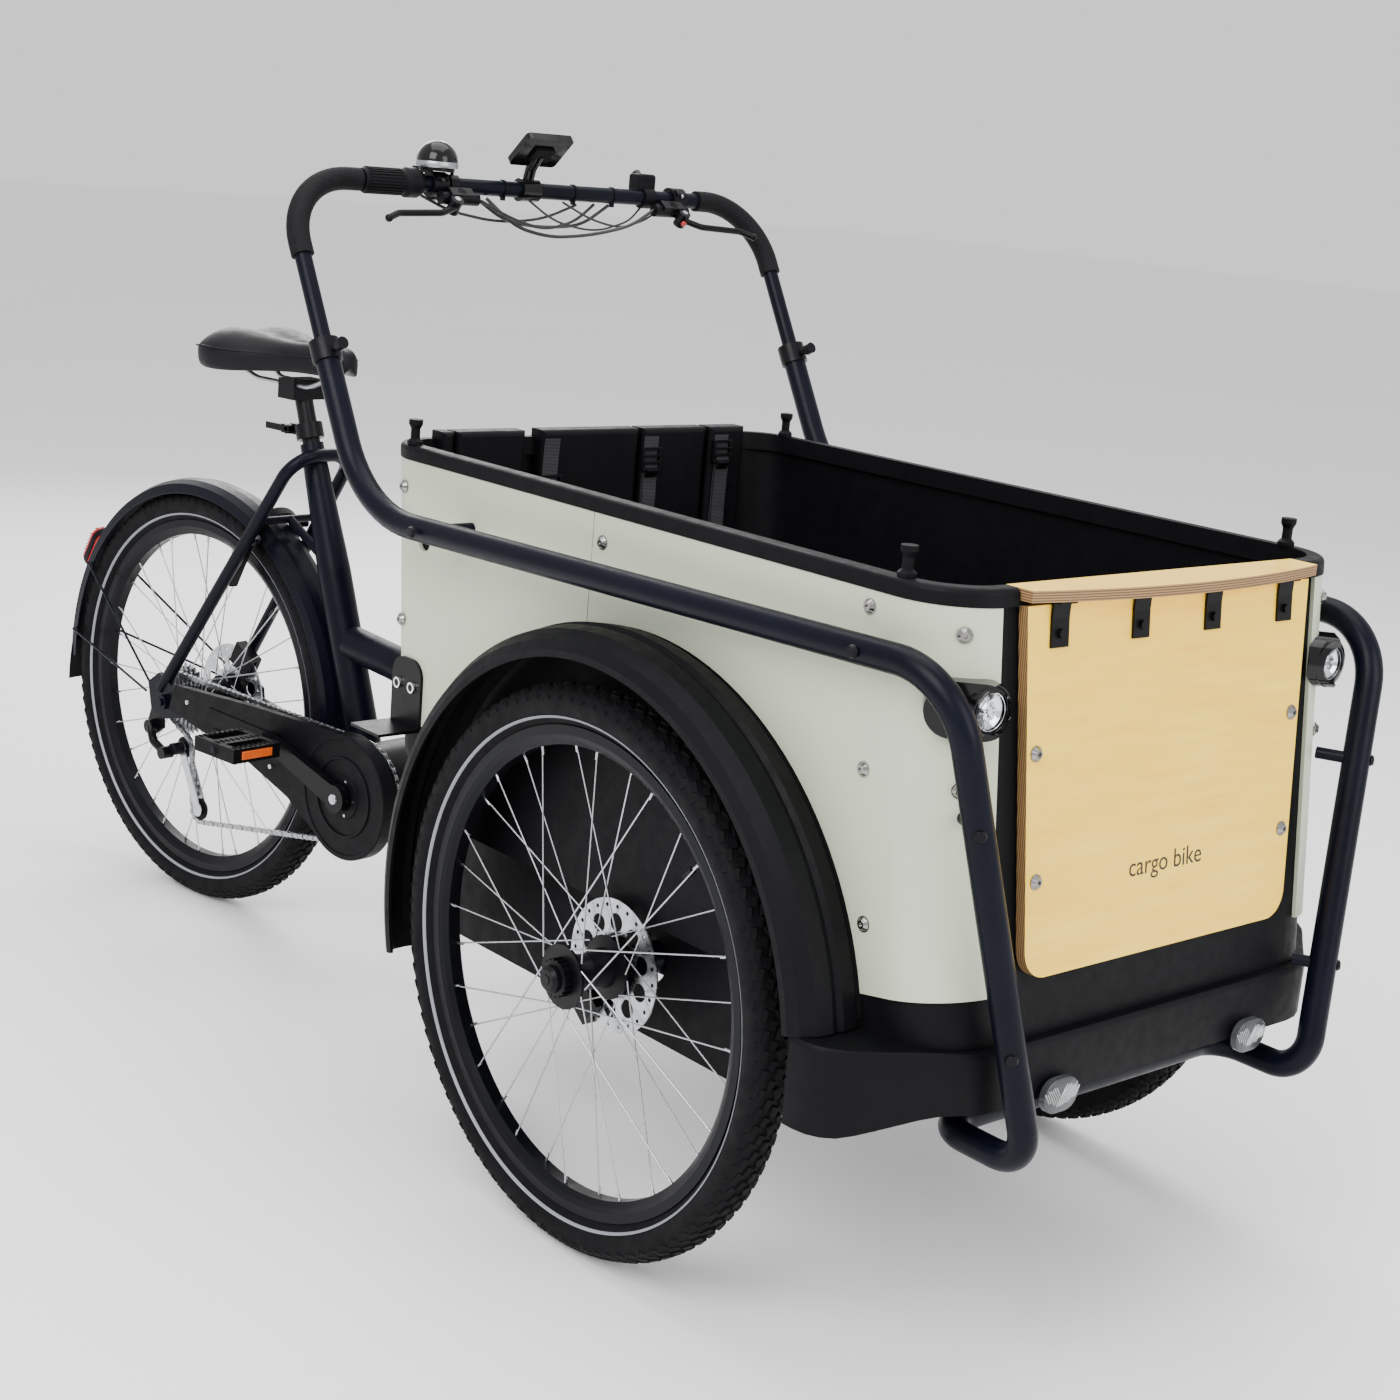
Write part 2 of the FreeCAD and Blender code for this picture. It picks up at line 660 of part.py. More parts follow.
def add_chain_guard():
    """The cover outside the chain: a disc round the crank and a tapering arm to the axle."""
    body = new_body("chain_guard", REAR)
    arm = new_sketch(body, "arm_outline", "XZ_Plane", 79)
    draw_outline(arm, [
        (-1262, 372), (-1064, 383), ("dims.bb_x - 20", 389), ("dims.bb_x - 30", 206),
        (-968, 262), (-1062, 292), (-1275, 330),
    ])
    add_pad(body, "arm", arm, 11)
    disc = new_sketch(body, "disc_outline", "XZ_Plane", 68)
    draw_circle(disc, "dims.bb_x", "dims.bb_z", 95)
    add_pad(body, "disc", disc, 22)
    hole = new_sketch(body, "hole_outline", "XZ_Plane", 0)
    draw_circle(hole, "dims.bb_x", "dims.bb_z", "dims.spindle_radius + 0.6")
    add_through_pocket(body, "spindle_hole", hole)


add_chain_guard()


def build_chain():
    wheels = [
        (BB.x, BB.z, CHAINRING_RADIUS + 4, 1),
        (REAR_HUB.x, REAR_HUB.z, SPROCKET_RADIUS + 4, 1),
        (UPPER_JOCKEY.x, UPPER_JOCKEY.z, JOCKEY_RADIUS + 4, -1),
        (LOWER_JOCKEY.x, LOWER_JOCKEY.z, JOCKEY_RADIUS + 4, 1),
    ]
    outer = belt_face([(x, z, radius + sense * CHAIN_HALF, sense) for x, z, radius, sense in wheels])
    inner = belt_face([(x, z, radius - sense * CHAIN_HALF, sense) for x, z, radius, sense in wheels])
    band = outer.cut(inner).extrude(LEFT * 3)
    band.translate(LEFT * (CHAIN_Y - 1.5))
    return band.Solids[0]


add_shape("chain", build_chain(), REAR)


def add_cassette():
    body = new_body("cassette", REAR.multiply(Placement(REAR_HUB, NO_TURN)))
    radii = [54, 50, 46, 42, SPROCKET_RADIUS, 34, 30, 26]
    bore = "dims.rear_axle_radius + 11"
    points = [(bore, -35)]
    y = -35
    for radius in radii:
        points += [(radius, y), (radius, y - 1.6), (21, y - 1.6), (21, y - 3.5)]
        y -= 3.5
    points += [(bore, y)]
    add_revolution(body, "sprockets", points)


add_cassette()


def build_derailleur():
    """Hanger and parallelogram body, from the dropout to the cage pivot."""
    pivot = UPPER_JOCKEY
    hanger = side_plate([(-1345, 330), (-1322, 330), (-1318, 285), (-1340, 270), (-1362, 285)], -69.6, -65)
    knuckle = rod(Vector(-1340, -84, 285), Vector(-1340, -60, 285), 11)
    link = pipe([Vector(-1340, -78, 285), Vector(-1332, -78, 262), Vector(-1300, -78, 250)], [14], 7)
    foot = rod(Vector(-1300, -86, 250), Vector(-1300, -66, 250), 10)
    tip = rod(Vector(pivot.x, -74, pivot.z), Vector(pivot.x, -57.6, pivot.z), 10)
    return fused([hanger, knuckle, link, foot, tip])


def build_derailleur_cage():
    along = unit(LOWER_JOCKEY - UPPER_JOCKEY)
    across = Vector(-along.z, 0, along.x)
    solids = []
    for y in (-57, -45):
        shift = LEFT * (y - CHAIN_Y)
        corners = [UPPER_JOCKEY + across * 8, LOWER_JOCKEY + across * 8,
                   LOWER_JOCKEY - across * 8, UPPER_JOCKEY - across * 8]
        corners = [corner + shift for corner in corners]
        solids.append(Part.Face(Part.makePolygon(corners + corners[:1])).extrude(LEFT * 2))
        for centre in (UPPER_JOCKEY, LOWER_JOCKEY):
            solids.append(Part.makeCylinder(11, 2, centre + shift, LEFT))
    for centre in (UPPER_JOCKEY, LOWER_JOCKEY):
        solids.append(Part.makeCylinder(JOCKEY_RADIUS, 2.4, centre - LEFT * 1.2, LEFT))
        solids.append(Part.makeCylinder(4, 14, centre - LEFT * 7, LEFT))
    return fused(solids)


add_shape("derailleur", build_derailleur(), REAR)
add_shape("derailleur_cage", build_derailleur_cage(), REAR)

# Rear mudguard with its stays, tail light, ring lock and caliper.
FENDER_RADIUS = 343
FENDER_START = -16
FENDER_SWEEP = 196


def build_rear_fender():
    """A crowned strip over the tyre, with two wire stays each side and a flap at the end."""
    section = [(FENDER_RADIUS - 12, -31), (FENDER_RADIUS + 3, -29), (FENDER_RADIUS + 9, -16),
               (FENDER_RADIUS + 11, 0), (FENDER_RADIUS + 9, 16), (FENDER_RADIUS + 3, 29),
               (FENDER_RADIUS - 12, 31), (FENDER_RADIUS - 12, 29), (FENDER_RADIUS + 1, 27),
               (FENDER_RADIUS + 7, 15), (FENDER_RADIUS + 9, 0), (FENDER_RADIUS + 7, -15),
               (FENDER_RADIUS + 1, -27), (FENDER_RADIUS - 12, -29)]
    corners = [Vector(REAR_HUB.x + radius, y, REAR_HUB.z) for radius, y in section]
    face = Part.Face(Part.makePolygon(corners + corners[:1]))
    face.rotate(REAR_HUB, LEFT, -FENDER_START)
    strip = face.revolve(REAR_HUB, LEFT, -FENDER_SWEEP)
    stays = []
    for degrees in (150, 172):
        angle = math.radians(degrees)
        top = REAR_HUB + Vector(math.cos(angle), 0, math.sin(angle)) * (FENDER_RADIUS - 3) + LEFT * 33
        eye = REAR_HUB + Vector(math.cos(angle), 0, math.sin(angle)) * 52 + LEFT * (DROPOUT_Y + 6.4)
        stays += both_sides(rod(top, eye, 2))
    return [strip] + stays


def fender_point(degrees, lift):
    angle = math.radians(degrees)
    radius = FENDER_RADIUS + 11 + lift
    return REAR_HUB + Vector(radius * math.cos(angle), 0, radius * math.sin(angle))


def build_tail_light():
    centre = fender_point(149, 12)
    lamp = racetrack(76, 34, 22)
    lamp.translate(Vector(-11, 0, 0))
    lamp.rotate(Vector(0, 0, 0), AHEAD, 90)
    lamp.rotate(Vector(0, 0, 0), LEFT, -149)
    lamp.translate(centre)
    return lamp


LOCK_ANGLE = 62


def build_ring_lock():
    """A horseshoe across the tyre: a round outer edge and a slot open towards the axle."""
    outer = Part.makeCylinder(49, 15, Vector(-7.5, 0, 0), AHEAD)
    legs = block(Vector(-7.5, -49, -92), Vector(7.5, 49, 0))
    slot_round = Part.makeCylinder(35, 40, Vector(-20, 0, 0), AHEAD)
    slot = block(Vector(-20, -35, -120), Vector(20, 35, 0))
    shell = fused([outer, legs]).cut([slot_round, slot])
    angle = math.radians(LOCK_ANGLE)
    shell.rotate(Vector(0, 0, 0), LEFT, 90 - LOCK_ANGLE)
    reach = FENDER_RADIUS - 12
    shell.translate(REAR_HUB + Vector(reach * math.cos(angle), 0, reach * math.sin(angle)))
    return shell


def caliper(centre, rotor_y, half_y, angle):
    """A brake caliper: a block that straddles the rotor."""
    body = block(Vector(-24, rotor_y - half_y, -17), Vector(24, rotor_y + half_y, 21))
    gap = block(Vector(-40, rotor_y - 2.6, -40), Vector(40, rotor_y + 2.6, 15))
    shape = body.cut(gap)
    shape.rotate(Vector(0, 0, 0), LEFT, 90 - angle)
    radians = math.radians(angle)
    shape.translate(centre + Vector(68 * math.cos(radians), 0, 68 * math.sin(radians)))
    return shape


add_shape("rear_fender", build_rear_fender(), REAR)
add_shape("tail_light", build_tail_light(), REAR)
add_shape("ring_lock", build_ring_lock(), REAR)
add_shape("rear_caliper", caliper(REAR_HUB, 51, 10, 62), REAR)

# ------------------------------------------------------------------ cargo box

BOX_HALF = size("box_half")
REAR_CORNER = 60
FRONT_CORNER = 75


def box_rear_x(z):
    return -526 - (z - 526) * 0.084


def box_front_x(z):
    """The tub's front wall, just behind the plywood."""
    return 506 - (z - 482) * math.tan(math.radians(size("front_lean"))) - size("ply_sheet") - 1.5


def box_wire(z, grow):
    """The plan outline of the box at a height, grown outwards, as lines and corner arcs."""
    rear = box_rear_x(z) - grow
    front = box_front_x(z) + grow
    half = BOX_HALF + grow
    corners = [(rear, -half, REAR_CORNER + grow), (front, -half, FRONT_CORNER + grow),
               (front, half, FRONT_CORNER + grow), (rear, half, REAR_CORNER + grow)]
    diagonal = math.sqrt(0.5)
    edges = []
    previous = None
    first = None
    for index, (x, y, radius) in enumerate(corners):
        to_x = -1 if x > 0 else 1
        to_y = -1 if y > 0 else 1
        along_x = Vector(x + to_x * radius, y, z)
        along_y = Vector(x, y + to_y * radius, z)
        centre = Vector(x + to_x * radius, y + to_y * radius, z)
        middle = centre - Vector(to_x, to_y, 0) * (radius * diagonal)
        enter, leave = (along_y, along_x) if index % 2 == 0 else (along_x, along_y)
        if previous is not None:
            edges.append(Part.LineSegment(previous, enter).toShape())
        else:
            first = enter
        edges.append(Part.Arc(enter, middle, leave).toShape())
        previous = leave
    edges.append(Part.LineSegment(previous, first).toShape())
    return Part.Wire(edges)


def box_solid(low, high, grow):
    return Part.makeLoft([box_wire(low, grow), box_wire(high, grow)], True, True)


def under_cut(lift):
    """What is below the box: the rear of the floor slopes up to the rear wall."""
    low = size("box_floor_z") + lift
    return side_plate([(-700, 300), (-385, 300), (-385, low), (-535, low + 112), (-700, low + 236)],
                      -400, 400)


BACKREST_SPANS = [(-262, -244), (-239, -129), (-101, 66), (73, 189), (196, 262)]


SHELF_BACK = 438
PANEL_FOOT = Vector(507.6, 0, 467)    # middle of the front panel's lower edge, outer face


def leaning(local):
    """Puts a shape drawn on the front panel's own axes onto the leaning front face."""
    return placed(local, PANEL_FOOT, Rotation(LEFT, -size("front_lean")))


def build_cargo_tub():
    floor_z = size("box_floor_z")
    wall = size("box_wall")
    seat_z = size("rim_seat_z")
    rim_z = size("rim_z")
    shell = box_solid(floor_z, seat_z + 2, 0).cut(under_cut(0))
    rim = box_solid(seat_z, rim_z, 7)
    rounded = [edge for edge in rim.Edges if edge.BoundBox.ZMin > rim_z - 1]
    rim = rim.makeFillet(6, rounded)
    hollow = box_solid(floor_z + wall, rim_z + 10, -wall).cut(under_cut(wall))
    mouth = box_solid(seat_z - 20, rim_z + 10, -13)
    tub = fused([shell, rim]).cut([hollow.common(box_solid(floor_z, seat_z - 6, 20)), mouth])
    wells = []
    for side in both_sides(block(Vector(-390, -288, 238), Vector(300, -284, floor_z + 1))):
        wells.append(side)
    access = rod(Vector(0, -400, AXLE_Z), Vector(0, 400, AXLE_Z), 30)
    panel_room = leaning(block(Vector(-12.4, -242, -10), Vector(60, 242, 400)))
    shelf_low = rim_z - size("ply_sheet") - SKIN
    shelf_room = block(Vector(SHELF_BACK - SKIN, -242, shelf_low), Vector(600, 242, rim_z + 30))
    ribs = []
    rear_x = box_rear_x(rim_z) + 11
    for low, high in BACKREST_SPANS:
        rib = block(Vector(rear_x - 6, low, 560), Vector(rear_x + 22, high, rim_z + 11))
        edges = [edge for edge in rib.Edges if edge.BoundBox.XMin > rear_x + 20]
        inside = box_solid(floor_z, rim_z + 16, -1)
        ribs.append(rib.makeFillet(7, edges).common(inside))
    whole = fused([tub.common(box_solid(floor_z - 5, rim_z + 20, 30))] + wells + ribs)
    return whole.cut([access, panel_room, shelf_room])


add_shape("cargo_tub", build_cargo_tub(), FRONT)

# Bolts of the side panels: (x, z) on the flat side, and (degrees round the corner, z).
SIDE_BOLTS = [(-503, 814), (-494, 642), (-91, 817), (343, 832), (357, 666), (380, 507)]
CORNER_BOLTS = [(38, 822), (38, 668)]
FRONT_BOLTS = [(217, 236), (210, 103)]
BOLT_HEAD = 7.5
BOLT_SHANK = 3


def bolt(point, outward):
    """A button-head bolt: the point is on the panel's outer face."""
    shank = Part.makeCylinder(BOLT_SHANK, size("panel_sheet"), point - outward * size("panel_sheet"), outward)
    washer = Part.makeCylinder(BOLT_HEAD + 1, 1.2, point, outward)
    head = Part.makeCone(BOLT_HEAD, BOLT_HEAD - 3, 4, point + outward * 1.2, outward)
    socket = Part.makeCylinder(2.4, 3, point + outward * 3, outward)
    return fused([shank, washer, head]).cut(socket)


def side_bolt_places():
    """Place and outward direction of each bolt of the right side panel."""
    face_y = -(BOX_HALF + SKIN + size("panel_sheet"))
    places = [(Vector(x, face_y, z), Vector(0, -1, 0)) for x, z in SIDE_BOLTS]
    for degrees, z in CORNER_BOLTS:
        angle = math.radians(degrees)
        centre = Vector(box_front_x(z) - FRONT_CORNER, -(BOX_HALF - FRONT_CORNER), z)
        outward = Vector(math.cos(angle), -math.sin(angle), 0)
        places.append((centre + outward * (FRONT_CORNER + SKIN + size("panel_sheet") + 0.8), outward))
    return places


def build_side_panels():
    """Two sheets each side, split by an upright seam over the wheel."""
    outer = box_solid(430, size("rim_seat_z") - 1, SKIN + size("panel_sheet"))
    skin = outer.cut(box_solid(400, 900, SKIN))
    outline = [(-575, 512), (-300, 512), (-300, 432), (380, 432), (520, 458), (520, 870), (-575, 870)]
    window = side_plate(outline, -360, -263)
    arch = rod(Vector(0, -500, AXLE_Z), Vector(0, 0, AXLE_Z), size("arch_radius") + 3)
    seam = block(Vector(-110.7, -400, 600), Vector(-109.3, 0, 900))
    slot = rod(Vector(-452, -400, 752), Vector(-452, 0, 752), 13)
    shanks = [rod(point - outward * 20, point + outward * 5, BOLT_SHANK + 0.2)
              for point, outward in side_bolt_places()]
    right = skin.common(window).cut([arch, seam, slot] + shanks)
    return both_sides(right)


panels = []
for half in build_side_panels():
    panels += half.Solids
add_shape("side_panels", panels, FRONT)


def add_front_panel():
    placement = FRONT.multiply(Placement(PANEL_FOOT, Rotation(LEFT, -size("front_lean"))))
    body = new_body("front_panel", placement)
    face = new_sketch(body, "face_outline", "YZ_Plane")
    draw_outline(face, [
        ("-dims.ply_bottom_half", 0), ("dims.ply_bottom_half", 0),
        ("dims.ply_top_half", "dims.ply_height"), ("-dims.ply_top_half", "dims.ply_height"),
    ])
    add_pad(body, "sheet", face, "dims.ply_sheet", backwards=True)
    fillet_edges(body, "bottom_corners", 32,
                 lambda edge, middle: abs(middle.z) < 1 and abs(abs(middle.y) - size("ply_bottom_half")) < 1)
    holes = new_sketch(body, "hole_outline", "YZ_Plane")
    for y, z in FRONT_BOLTS:
        draw_circle(holes, y, z, BOLT_SHANK + 0.2)
        draw_circle(holes, -y, z, BOLT_SHANK + 0.2)
    add_through_pocket(body, "bolt_holes", holes)


add_front_panel()


def build_front_shelf():
    """A plywood board let into the front rim, with a bowed front edge."""
    half = 240
    underside = size("rim_z") - size("ply_sheet")
    corner = 474
    bow = 500
    corners = [Vector(SHELF_BACK, -half, underside), Vector(corner, -half, underside),
               Vector(corner, half, underside), Vector(SHELF_BACK, half, underside)]
    edges = [
        Part.LineSegment(corners[0], corners[1]).toShape(),
        Part.Arc(corners[1], Vector(bow, 0, underside), corners[2]).toShape(),
        Part.LineSegment(corners[2], corners[3]).toShape(),
        Part.LineSegment(corners[3], corners[0]).toShape(),
    ]
    board = Part.Face(Part.Wire(edges)).extrude(Vector(0, 0, size("ply_sheet")))
    return board


add_shape("front_shelf", build_front_shelf(), FRONT)


def build_shelf_brackets():
    brackets = []
    shelf_z = size("rim_z") - size("ply_sheet")
    for y in (-190, -61, 61, 190):
        upright = block(Vector(0.2, y - 13, 342), Vector(3.2, y + 13, 374))
        screw = Part.makeCylinder(5, 4, Vector(3.2, y, 356), AHEAD)
        leg = leaning(fused([upright, screw]))
        foot = block(Vector(466, y - 13, shelf_z - 3), Vector(480, y + 13, shelf_z - SKIN))
        post = block(Vector(469, y - 13, 835), Vector(472, y + 13, shelf_z - 1))
        brackets.append(fused([leg, foot, post]))
    return brackets


def build_panel_bolts():
    bolts = []
    for point, outward in side_bolt_places():
        bolts += both_sides(bolt(point, outward))
    for y, z in FRONT_BOLTS:
        bolts += both_sides(leaning(bolt(Vector(0, y, z), AHEAD)))
    return bolts


add_shape("shelf_brackets", build_shelf_brackets(), FRONT)
add_shape("panel_bolts", build_panel_bolts(), FRONT)


SKIRT_HALF = 414    # how far each side of the middle the apron reaches


def build_front_skirt():
    """The apron below the box: a band round the front corners, swelling out to each arch."""
    low = 300
    high = size("box_floor_z") + 6
    outer = placed(box_solid(low, high, 6), Vector(4, 0, 0))
    inner = placed(box_solid(low - 20, high + 20, 2), Vector(4, 0, 0))
    band = outer.cut(inner)
    front = block(Vector(372, -400, 0), Vector(700, 400, 900))
    raised = [(290, 270), (700, 270), (700, 334), (490, 334), (430, 302), (290, 302)]
    slope = side_plate(raised, -430, 430)
    cheek = cheek_prism(0, 302, high - 6).cut(cheek_prism(4, 290, high - 10))
    return fused([band.common(front)] + both_sides(cheek)).cut(slope)


def cheek_prism(inset, low, high):
    """The swelling beside a wheel arch, seen from above, drawn in by the inset."""
    lip = -SKIRT_HALF + inset
    side = -(BOX_HALF + 3)
    outer = Vector(386 - inset, lip, low)
    flare = Vector(438 - inset, (side + lip) / 2 - 17, low)
    tip = Vector(482 - inset * 2, side, low)
    rear = 372 - inset
    edges = [
        Part.LineSegment(Vector(rear, side, low), Vector(rear, lip, low)).toShape(),
        Part.LineSegment(Vector(rear, lip, low), outer).toShape(),
        Part.Arc(outer, flare, tip).toShape(),
        Part.LineSegment(tip, Vector(rear, side, low)).toShape(),
    ]
    return Part.Face(Part.Wire(edges)).extrude(Vector(0, 0, high - low))


def build_wheel_arches():
    """A broad lip over each front wheel, turned about the wheel's own axis."""
    radius = size("arch_radius")
    section = [(radius - 2, -332.5), (radius + 5, -340), (radius + 8, -361), (radius + 3, -366),
               (radius + 6, -374), (radius + 3, -394), (radius - 8, -409), (radius - 20, -415),
               (radius - 28, -415), (radius - 28, -411), (radius - 21, -410.5), (radius - 11, -405),
               (radius - 2, -392), (radius + 1, -375), (radius - 2, -366), (radius + 3, -359),
               (radius, -345), (radius - 7, -332.5)]
    corners = [Vector(point_radius, y, AXLE_Z) for point_radius, y in section]
    face = Part.Face(Part.makePolygon(corners + corners[:1]))
    centre = Vector(0, 0, AXLE_Z)
    face.rotate(centre, LEFT, -9.4)
    arch = face.revolve(centre, LEFT, -185)
    return both_sides(arch)


add_shape("front_skirt", build_front_skirt(), FRONT)
add_shape("wheel_arches", build_wheel_arches(), FRONT)

# Headlights at the front corners, reflectors on the apron.
LAMP = Vector(470, -287, 751)
LENS_RADIUS = 21.5


def build_headlight_housings():
    shell = racetrack(88, 58, 36)
    shell.translate(Vector(-20, 0, 0))
    shell.rotate(Vector(0, 0, 0), UP, -44)
    shell.translate(Vector(457, -298, LAMP.z))
    barrel = Part.makeCylinder(27.5, 50, LAMP - AHEAD * 40, AHEAD)
    housing = fused([shell, barrel])
    behind = box_solid(600, 900, SKIN * 2 + size("panel_sheet"))
    pocket = Part.makeCylinder(LENS_RADIUS + SKIN, 30, LAMP, AHEAD)
    beside_ply = block(Vector(300, -250, 600), Vector(600, 300, 900))
    return both_sides(housing.cut([behind, pocket, beside_ply]).Solids[0])


def build_lamp_lenses():
    lens = Part.makeCylinder(LENS_RADIUS, 9, LAMP + AHEAD * SKIN, AHEAD)
    reflector = racetrack(54, 38, 10)
    reflector.translate(Vector(box_front_x(340) + 12.5 + SKIN * 3, -164, 338))
    return both_sides(lens) + both_sides(reflector)


add_shape("headlight_housings", build_headlight_housings(), FRONT)
add_shape("lamp_lenses", build_lamp_lenses(), FRONT)


def build_tent_posts():
    """Waisted studs on the rim that the rain tent hooks onto."""
    posts = []
    outline = [(0, 0), (10, 0), (10, 4), (6, 8), (6, 20), (9, 26), (9, 32), (0, 32)]
    corners = [Vector(radius, 0, z) for radius, z in outline]
    face = Part.Face(Part.makePolygon(corners + corners[:1]))
    stud = face.revolve(Vector(0, 0, 0), UP, 360)
    for x, y in ((376, -318), (-500, -321)):
        posts += both_sides(placed(stud, Vector(x, y, size("rim_z") + 0.2)))
    return posts


def build_foot_brackets():
    """A step on each side: an upright plate on the panel and a tread that stands out."""
    face_y = -(BOX_HALF + SKIN * 2 + size("panel_sheet"))
    upright = block(Vector(-503, face_y - 4, 504), Vector(-437, face_y, 596))
    corner = [edge for edge in upright.Edges if edge.BoundBox.ZMin > 595 and edge.BoundBox.YLength > 3]
    upright = upright.makeFillet(24, corner)
    tread = block(Vector(-503, face_y - 64, 504), Vector(-437, face_y, 508))
    rivets = [rod(Vector(x, face_y - 4, 560), Vector(x, face_y - 7, 560), 6) for x in (-487, -455)]
    return both_sides(fused([upright, tread] + rivets))


add_shape("tent_posts", build_tent_posts(), FRONT)
add_shape("foot_brackets", build_foot_brackets(), FRONT)


def build_harness_straps():
    """Flat webbing over the backrest, each with its ladder-lock buckle."""
    straps = []
    rear_x = box_rear_x(size("rim_z")) + 11 + 22 + 0.5
    for y, buckle_z in ((-87, 803), (85, 837), (216, 845)):
        web = block(Vector(rear_x, y - 12.5, 585), Vector(rear_x + 2, y + 12.5, size("rim_z")))
        buckle = block(Vector(rear_x + 2, y - 17, buckle_z - 16), Vector(rear_x + 9, y + 17, buckle_z + 16))
        straps.append(fused([web, buckle]))
    return straps


add_shape("harness_straps", build_harness_straps(), FRONT)

# ------------------------------------------------------------------ front chassis and bumper

UPRIGHT_TOP = Vector(-588, -size("upright_half"), size("collar_z"))
UPRIGHT_LEAN = unit(Vector(-0.57, 0, 1))
SLEEVE_DEPTH = 122
BUMPER_FOOT_X = 430


def bumper_points():
    """The right half of the loop: upright, side rail, front hoop, foot and crossbar."""
    rail_z = 785
    corner_x = UPRIGHT_TOP.x + 0.57 * (UPRIGHT_TOP.z - rail_z)
    return [
        UPRIGHT_TOP,
        Vector(corner_x, -size("upright_half"), rail_z),
        Vector(490, -356, 797),
        Vector(558, -240, 284),
        Vector(BUMPER_FOOT_X, -240, 284),
    ]


def build_bumper_frame():
    right = bumper_points()
    points = right + [mirrored(point) for point in reversed(right)]
    bends = [165, 85, 40, 40, 40, 40, 85, 165]
    loop = pipe(points, bends, size("rail_radius"))
    hollow_start = UPRIGHT_TOP - UPRIGHT_LEAN * (SLEEVE_DEPTH + 1)
    inside = [hollow_start] + points[1:-1] + [mirrored(hollow_start)]
    void = pipe(inside, bends, size("rail_radius") - 2)
    sockets = []
    sleeve = rod(
        UPRIGHT_TOP + UPRIGHT_LEAN * 10, UPRIGHT_TOP - UPRIGHT_LEAN * SLEEVE_DEPTH,
        size("bar_radius") + size("running_gap"),
    )
    sockets += both_sides(sleeve)
    stand_offs = []
    face_y = -(BOX_HALF + SKIN * 2 + size("panel_sheet"))
    for x, y, z in ((-350, -400, 786), (372, -362, 796)):
        stand_offs += both_sides(rod(Vector(x, y, z), Vector(x, face_y, z), 8))
    for start, end in (
        (Vector(509, -318, 642), Vector(470, -300, 642)),
        (Vector(540, -268, 410), Vector(512, -250, 410)),
    ):
        stand_offs += both_sides(rod(start, end, 7))
    outside = fused([loop] + stand_offs)
    around_box = box_solid(380, 860, SKIN * 2 + size("panel_sheet"))
    return outside.cut([void, around_box] + sockets)


add_shape("bumper_frame", build_bumper_frame(), FRONT)


def build_front_chassis():
    """Cross beam with the stub axles and pivot pin, two floor rails and cross members."""
    beam = block(Vector(-24, -278, 316), Vector(24, 278, 364))
    rails = []
    for y in (-236, 236):
        rails.append(block(Vector(-370, y - 14, 362), Vector(455, y + 14, 390)))
    cross = [block(Vector(x - 14, -236, 362), Vector(x + 14, 236, 390)) for x in (-355, 200, 440)]
    stubs = both_sides(rod(Vector(0, -270, AXLE_Z), Vector(0, -437, AXLE_Z), size("stub_radius")))
    bosses = both_sides(rod(Vector(0, -278, AXLE_Z), Vector(0, -330, AXLE_Z), 19))
    pivot_plate = block(Vector(-24, -60, 316), Vector(PIVOT_X + 34, 60, 330))
    pin = rod(Vector(PIVOT_X, 0, 206), Vector(PIVOT_X, 0, 330), HEAD_PIN_RADIUS)
    nut = rod(Vector(PIVOT_X, 0, 196), Vector(PIVOT_X, 0, HEAD_FOOT_Z - SKIN), 24)
    struts = []
    foot_z = 284 + size("rail_radius") + SKIN
    for y in (-150, 150):
        low = Vector(BUMPER_FOOT_X - 2.5, y - 12, foot_z)
        struts.append(block(low, Vector(BUMPER_FOOT_X + 2.5, y + 12, 391)))
    plate = side_plate([(-19, 345), (19, 322), (-20, 268), (-72, 286)], -331, -325)
    solids = [beam, pivot_plate, pin, nut] + rails + cross + stubs + bosses + struts
    return fused(solids + both_sides(plate))


add_shape("front_chassis", build_front_chassis(), FRONT)
front_rotor_y = -size("track_half") + 42.5
add_shape(
    "front_calipers",
    both_sides(caliper(Vector(0, 0, AXLE_Z), front_rotor_y, 11, 232)),
    FRONT,
)

# ------------------------------------------------------------------ handlebar

BAR_CORNER = UPRIGHT_TOP + UPRIGHT_LEAN * ((size("bar_z") - UPRIGHT_TOP.z) / UPRIGHT_LEAN.z)
BAR_BEND = 95
INSERTED = 85
BAR_X = BAR_CORNER.x
BAR_Z = size("bar_z")


def bar_point(y, forward=0, drop=0):
    """A point beside the straight bar: so far ahead of it and so far below it."""
    return Vector(BAR_X + forward, y, BAR_Z - drop)


def build_handlebar():
    foot = UPRIGHT_TOP - UPRIGHT_LEAN * INSERTED
    points = [foot, BAR_CORNER, mirrored(BAR_CORNER), mirrored(foot)]
    bends = [BAR_BEND, BAR_BEND]
    return hollow_pipe(points, bends, size("bar_radius"), size("bar_radius") - 2)


def build_grip_tape():
    start = UPRIGHT_TOP + UPRIGHT_LEAN * 132
    points = [start, BAR_CORNER, bar_point(-291)]
    return both_sides(
        hollow_pipe(points, [BAR_BEND], size("tape_radius"), size("bar_radius") + 0.1)
    )


